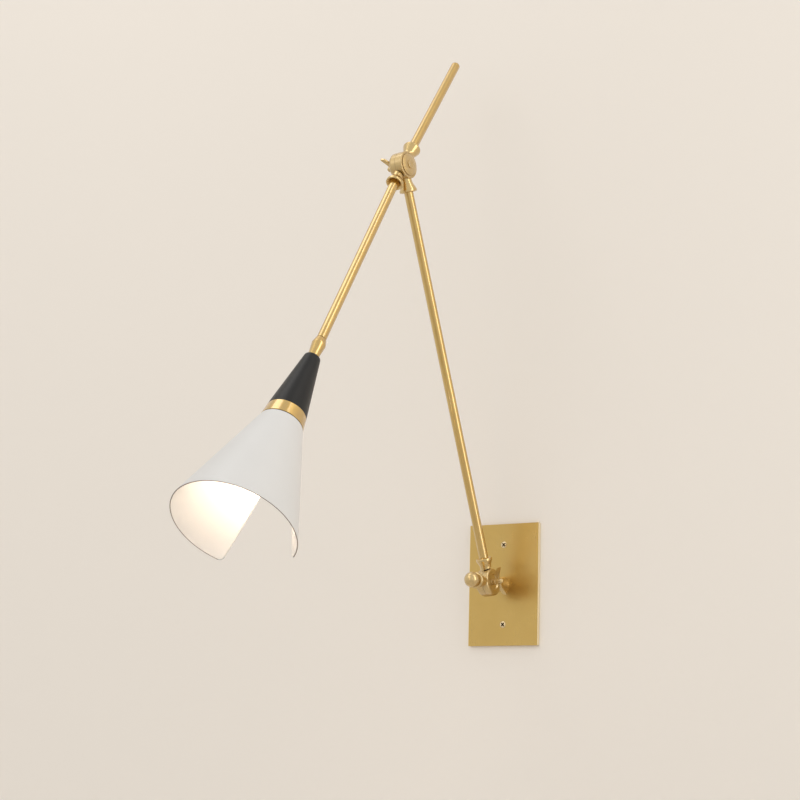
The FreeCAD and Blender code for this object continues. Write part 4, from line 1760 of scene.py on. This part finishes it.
@dataclass(frozen=True)
class Lampholder:
    """Lampholder with its ribbed ring nut, in millimetres."""

    top: float = 322.0
    top_radius: float = 13.0172
    top_round: float = 2.0
    flange_start: float = 354.6
    flange_end: float = 356.6
    flange_radius: float = 15.2
    skirt_radius: float = 12.4
    mouth: float = 366.0
    edge: float = 0.67
    bore: float = 8.6
    floor: float = 335.0
    nut_radius: float = 15.8
    nut_start: float = 357.6
    nut_height: float = 5.0
    nut_gap: float = 0.1
    ribs: int = 36
    rib_depth: float = 0.5
    rib_drop: float = 0.6

    def body(self) -> Solid:
        """Holder with its flange, skirt and open mouth.

        Returns:
            The solid.
        """
        neck, skirt, wide = self.top_radius, self.skirt_radius, self.flange_radius
        return Solid.turned([
            (NIPPLE_WAY, self.top), (neck, self.top, self.top_round),
            (neck, self.flange_start, 0.5),
            (wide, self.flange_start, self.edge), (wide, self.flange_end, 0.3),
            (skirt, self.flange_end), (skirt, self.mouth, self.edge), (self.bore, self.mouth, 0.4),
            (self.bore, self.floor), (NIPPLE_WAY, self.floor),
        ])

    def nut(self) -> Solid:
        """Ring nut with upright ribs.

        Returns:
            The solid.
        """
        low, high = self.nut_start, self.nut_start + self.nut_height
        bore = self.skirt_radius + self.nut_gap
        core, end = self.nut_radius - self.rib_depth, high - self.rib_drop
        ring = Solid.turned([(bore, low), (core, low), (core, high, 0.8), (bore, high, 0.5)])
        outline = [(0, low), (self.rib_depth, low), (self.rib_depth, end, 0.2), (0, high - 0.4)]
        rib = Solid.turned(outline, Facets.RIB).at(shift(core, 0, 0))
        return ring.fused(repeated(around_tree(), rib, {"Count": self.ribs}))

    def build(self) -> None:
        """Makes and dresses the holder and its nut."""
        plastic = Plain("holder_plastic", (0.72, 0.71, 0.68), (0.68, 0.67, 0.64), 0.45, scale=700.0)
        material = plastic.material()
        for solid, name, node in (
            (self.body(), "lampholder_moulding", "lampholder"),
            (self.nut(), "shade_nut_ribbed", "shade_nut"),
        ):
            solid.seated(name, material, PLACES.rod, "head", "holder_plastic", node)


@dataclass(frozen=True)
class Bulb:
    """Frosted globe bulb with a threaded cap, in millimetres."""

    cap_radius: float = 7.0
    cap_start: float = 347.5
    cap_end: float = 366.0
    thread_depth: float = 0.8
    thread_pitch: float = 2.8
    waist_inset: float = 0.7
    tip_radius: float = 4.5
    tip_start: float = 345.7
    tip_round: float = 0.45
    contact_radius: float = 2.2
    neck: float = 367.8
    neck_radius: float = 10.0
    centre: float = 401.0
    globe_radius: float = 22.5
    glass_wall: float = 1.0

    def _shell(self, inset: float) -> list[Spot]:
        """Outline from the neck's edge on to the globe's bottom without a corner.

        Args:
            inset: Distance inside the outer face.

        Returns:
            The outline's points.
        """
        neck, radius = self.neck_radius - inset, self.globe_radius - inset
        drop = self.centre - self.neck
        turn = math.acos(radius / math.hypot(neck, drop)) + math.atan2(neck, drop)
        return [(neck, self.neck), *arc(self.centre, radius, 180 - math.degrees(turn), 0, 40)]

    def cap(self) -> Solid:
        """Cap with its coarse thread and the seat of its end contact.

        Returns:
            The solid.
        """
        waist = self.cap_radius - self.waist_inset
        cap = Solid.turned([
            (0, self.tip_start), (self.contact_radius, self.tip_start),
            (self.tip_radius, self.tip_start, self.tip_round),
            (waist, self.cap_start, self.tip_round), (waist, self.cap_end - 1),
            (self.cap_radius, self.cap_end - 0.5), (self.neck_radius, self.neck, 0.5),
            (0, self.neck),
        ], Facets.SMALL)
        thread = (self.cap_radius, self.thread_depth, self.thread_pitch)
        return cap.fused(Solid.thread(*thread, self.cap_start + 1, self.cap_end - 1.5))

    def build(self) -> None:
        """Makes and dresses the glass and the cap."""
        glass = Solid.turned(self._shell(0.0) + self._shell(self.glass_wall)[::-1])
        frost = Frosted("bulb_frosted_glass").material()
        glass.seated("bulb_globe_glass", frost, PLACES.rod, "head", "bulb_frost", "bulb_glass")
        nickel = Plain("cap_nickel", (0.6, 0.59, 0.56), (0.5, 0.49, 0.46), 0.3, 1.0, 300.0)
        cap, metal = self.cap(), nickel.material()
        cap.seated("bulb_cap_threaded", metal, PLACES.rod, "head", "nickel_shell", "bulb_cap")


class HeldInside(Enum):
    """CAD nodes that stay as they are, by the finish that each one wears."""

    CABLE = ("arm_cable", "rod_cable")
    LEADS = ("head_leads",)
    FIBRE = ("base_friction_disc", "elbow_friction_disc")
    ZINC = ("swivel_nut", "head_nipple", "cone_locknut")
    NICKEL = ("holder_shell",)
    CONTACT = ("bulb_contact", "holder_contact")


HELD_FINISHES = {
    HeldInside.CABLE: Plain("inner_cable_plastic", *CABLE_GREY, 0.5),
    HeldInside.LEADS: Plain("inner_lead_plastic", (0.55, 0.52, 0.45), (0.48, 0.45, 0.4), 0.45),
    HeldInside.FIBRE: Plain("friction_fibre", (0.22, 0.15, 0.1), (0.15, 0.1, 0.07), 0.8),
    HeldInside.ZINC: Plain("inner_zinc", (0.6, 0.6, 0.61), (0.48, 0.48, 0.5), 0.4, 1.0),
    HeldInside.NICKEL: Plain("shell_nickel", (0.6, 0.58, 0.54), (0.5, 0.48, 0.45), 0.3, 1.0),
    HeldInside.CONTACT: Plain("contact_brass", (0.62, 0.46, 0.2), (0.5, 0.36, 0.15), 0.35, 1.0),
}


def dress_held_nodes() -> None:
    """Gives each CAD node that stays its finish."""
    for group, finish in HELD_FINISHES.items():
        material = finish.material()
        for name in group.value:
            node = frame["nodes"][name]
            node.data.materials.clear()
            node.data.materials.append(material)
            LOG.info("%s keeps its CAD shape in %s", name, finish.name)


# The stage


@dataclass(frozen=True)
class PhotoCamera:
    """Camera at the photograph's viewing angle.

    Attributes:
        azimuth: Degrees round from the plate's normal.
        elevation: Degrees above the horizon.
        roll: Degrees of turn about the line of sight.
        focal: Focal length in pixels of the frame.
        distance: Depth of the frame's origin in metres.
        origin: Where the frame's origin shows, in pixels.
        side: Width and height of the frame in pixels.
        sensor: Width of the sensor in millimetres.
    """

    azimuth: float = 35.29
    elevation: float = -10.43
    roll: float = 1.45
    focal: float = 1900.0
    distance: float = 1.98808
    origin: tuple[float, float] = (504.9, 584.8)
    side: float = 800.0
    sensor: float = 36.0

    def build(self) -> None:
        """Makes the camera and gives it to the scene."""
        a, e, r = (math.radians(x) for x in (self.azimuth, self.elevation, self.roll))
        back = Vector((math.sin(a) * math.cos(e), -math.cos(a) * math.cos(e), math.sin(e)))
        level = (-back).cross(Vector((0, 0, 1))).normalized()
        upright = level.cross(-back)
        right = level * math.cos(r) + upright * math.sin(r)
        up = upright * math.cos(r) - level * math.sin(r)
        across, down = ((pixel - self.side / 2) / self.focal for pixel in self.origin)
        spot = -(right * across - up * down - back) * self.distance
        camera = bpy.data.cameras.new("photo_camera")
        camera.sensor_width = self.sensor
        camera.lens = self.focal / self.side * camera.sensor_width
        holder = linked("photo_camera", camera)
        turn = Matrix((right, up, back)).transposed().to_4x4()
        holder.matrix_world = Matrix.Translation(spot) @ turn
        bpy.context.scene.camera = holder


@dataclass(frozen=True)
class SoftBox:
    """Soft rectangular lamp.

    Attributes:
        name: Lamp's name.
        spot: Where it stands, in metres.
        aim: Point that it faces, in metres.
        size: Width and height in metres.
        power: Power in watts.
        colour: Colour of its light.
    """

    name: str
    spot: Triple
    aim: Triple
    size: tuple[float, float]
    power: float
    colour: Colour = (1.0, 0.985, 0.96)

    def build(self) -> None:
        """Makes the lamp."""
        light = bpy.data.lights.new(self.name, "AREA")
        light.shape = "RECTANGLE"
        light.size, light.size_y = self.size
        light.energy = self.power
        light.color = self.colour
        holder = linked(self.name, light)
        holder.location = self.spot
        facing = Vector(self.aim) - Vector(self.spot)
        holder.rotation_euler = facing.to_track_quat("-Z", "Y").to_euler()


@dataclass(frozen=True)
class Studio:
    """Wall, floor and soft light around the lamp.

    Attributes:
        wall_colour: Colour of the wall.
        floor_colour: Colour of the floor.
        floor_height: Floor's height in metres.
        reach: Half the width of wall and floor in metres.
        opening: Half the width and height of the wall's opening behind the plate, in metres.
        wall_back: Wall sheet behind the plate's back, in metres.
        air_colour: Colour of the even light from all round.
        air_strength: Strength of that light.
        lamps: Soft lamps.
    """

    wall_colour: Colour = (0.865, 0.805, 0.735)
    floor_colour: Colour = (0.80, 0.77, 0.73)
    floor_height: float = -1.3
    reach: float = 4.0
    opening: tuple[float, float] = (0.0415, 0.0625)
    wall_back: float = 0.0002
    air_colour: Colour = (0.98, 0.975, 0.96)
    air_strength: float = 0.86
    lamps: Sequence[SoftBox] = (
        SoftBox("right_softbox", (1.2, -0.18, 1.3), (0, -0.18, 1.3), (0.3, 3.0), 8.5),
        SoftBox("left_softbox", (-0.59, -0.545, 1.89), (-0.04, -0.2, 0.43), (0.8, 0.8), 3.2),
        SoftBox("front_softbox", (-0.67, -2.05, 1.58), (0, -0.2, 0.2), (1.6, 1.2), 6.5),
    )

    def build(self) -> None:
        """Makes the wall, the floor, the lamps and the world."""
        low, high, r = self.floor_height, self.floor_height + 2 * self.reach, self.reach
        back, (w, h) = self.wall_back, self.opening
        outside = [(-r, low), (r, low), (r, high), (-r, high)]
        inside = [(-w, -h), (w, -h), (w, h), (-w, h)]
        around = [(k, (k + 1) % 4, (k + 1) % 4 + 4, k + 4) for k in range(4)]
        wall = [(x, back, z) for x, z in outside + inside]
        self._sheet("wall", wall, around, self.wall_colour)
        floor = [(-r, -2 * r, low), (r, -2 * r, low), (r, back, low), (-r, back, low)]
        self._sheet("floor", floor, [(0, 1, 2, 3)], self.floor_colour)
        for lamp in self.lamps:
            lamp.build()
        self._world()

    @staticmethod
    def _sheet(
        name: str, corners: Sequence[Triple], faces: Sequence[Sequence[int]], colour: Colour
    ) -> None:
        """One flat sheet of the stage, seen only from its front.

        Args:
            name: Sheet's name.
            corners: Its corners in metres.
            faces: Corners of each face.
            colour: Its paint.
        """
        mesh = bpy.data.meshes.new(name)
        mesh.from_pydata(corners, [], faces)
        sheet = linked(name, mesh)
        g = Graph(name + "_paint")
        drift = g.noise(g.local(Matrix()), 1.2, 2.0)
        pale = g.mix(drift, colour, tuple(c * 0.985 for c in colour))
        shader = g.add("ShaderNodeBsdfPrincipled", links={"Base Color": pale, "Roughness": 0.9})
        clear = g.add("ShaderNodeBsdfTransparent")
        behind = g.add("ShaderNodeNewGeometry", output="Backfacing")
        surface = g.add("ShaderNodeMixShader", links={0: behind, 1: shader, 2: clear})
        g.node("ShaderNodeOutputMaterial", links={"Surface": surface})
        mesh.materials.append(g.material)

    def _world(self) -> None:
        """Even light from all round."""
        world = bpy.data.worlds.new("studio")
        world.use_nodes = True
        inputs = world.node_tree.nodes["Background"].inputs
        inputs["Color"].default_value = (*self.air_colour, 1)
        inputs["Strength"].default_value = self.air_strength
        bpy.context.scene.world = world


def main() -> None:
    """Builds the lamp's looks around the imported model."""
    logging.basicConfig(level=logging.INFO, format="%(message)s")
    for stray in [o for o in bpy.data.objects if o.name in ("Cube", "Light", "Camera")]:
        bpy.data.objects.remove(stray)
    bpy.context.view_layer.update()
    PhotoCamera().build()
    Studio().build()
    for part in (
        WallPlate(), Stem(), WingClamp(), Arm(), Rod(), Swivel(), Neck(), Shade(), Lampholder(),
        Bulb(),
    ):
        part.build()
        LOG.info("%s done", type(part).__name__)
    dress_held_nodes()
    bpy.context.scene.view_settings.view_transform = "Standard"


if __name__ == "__main__":
    main()
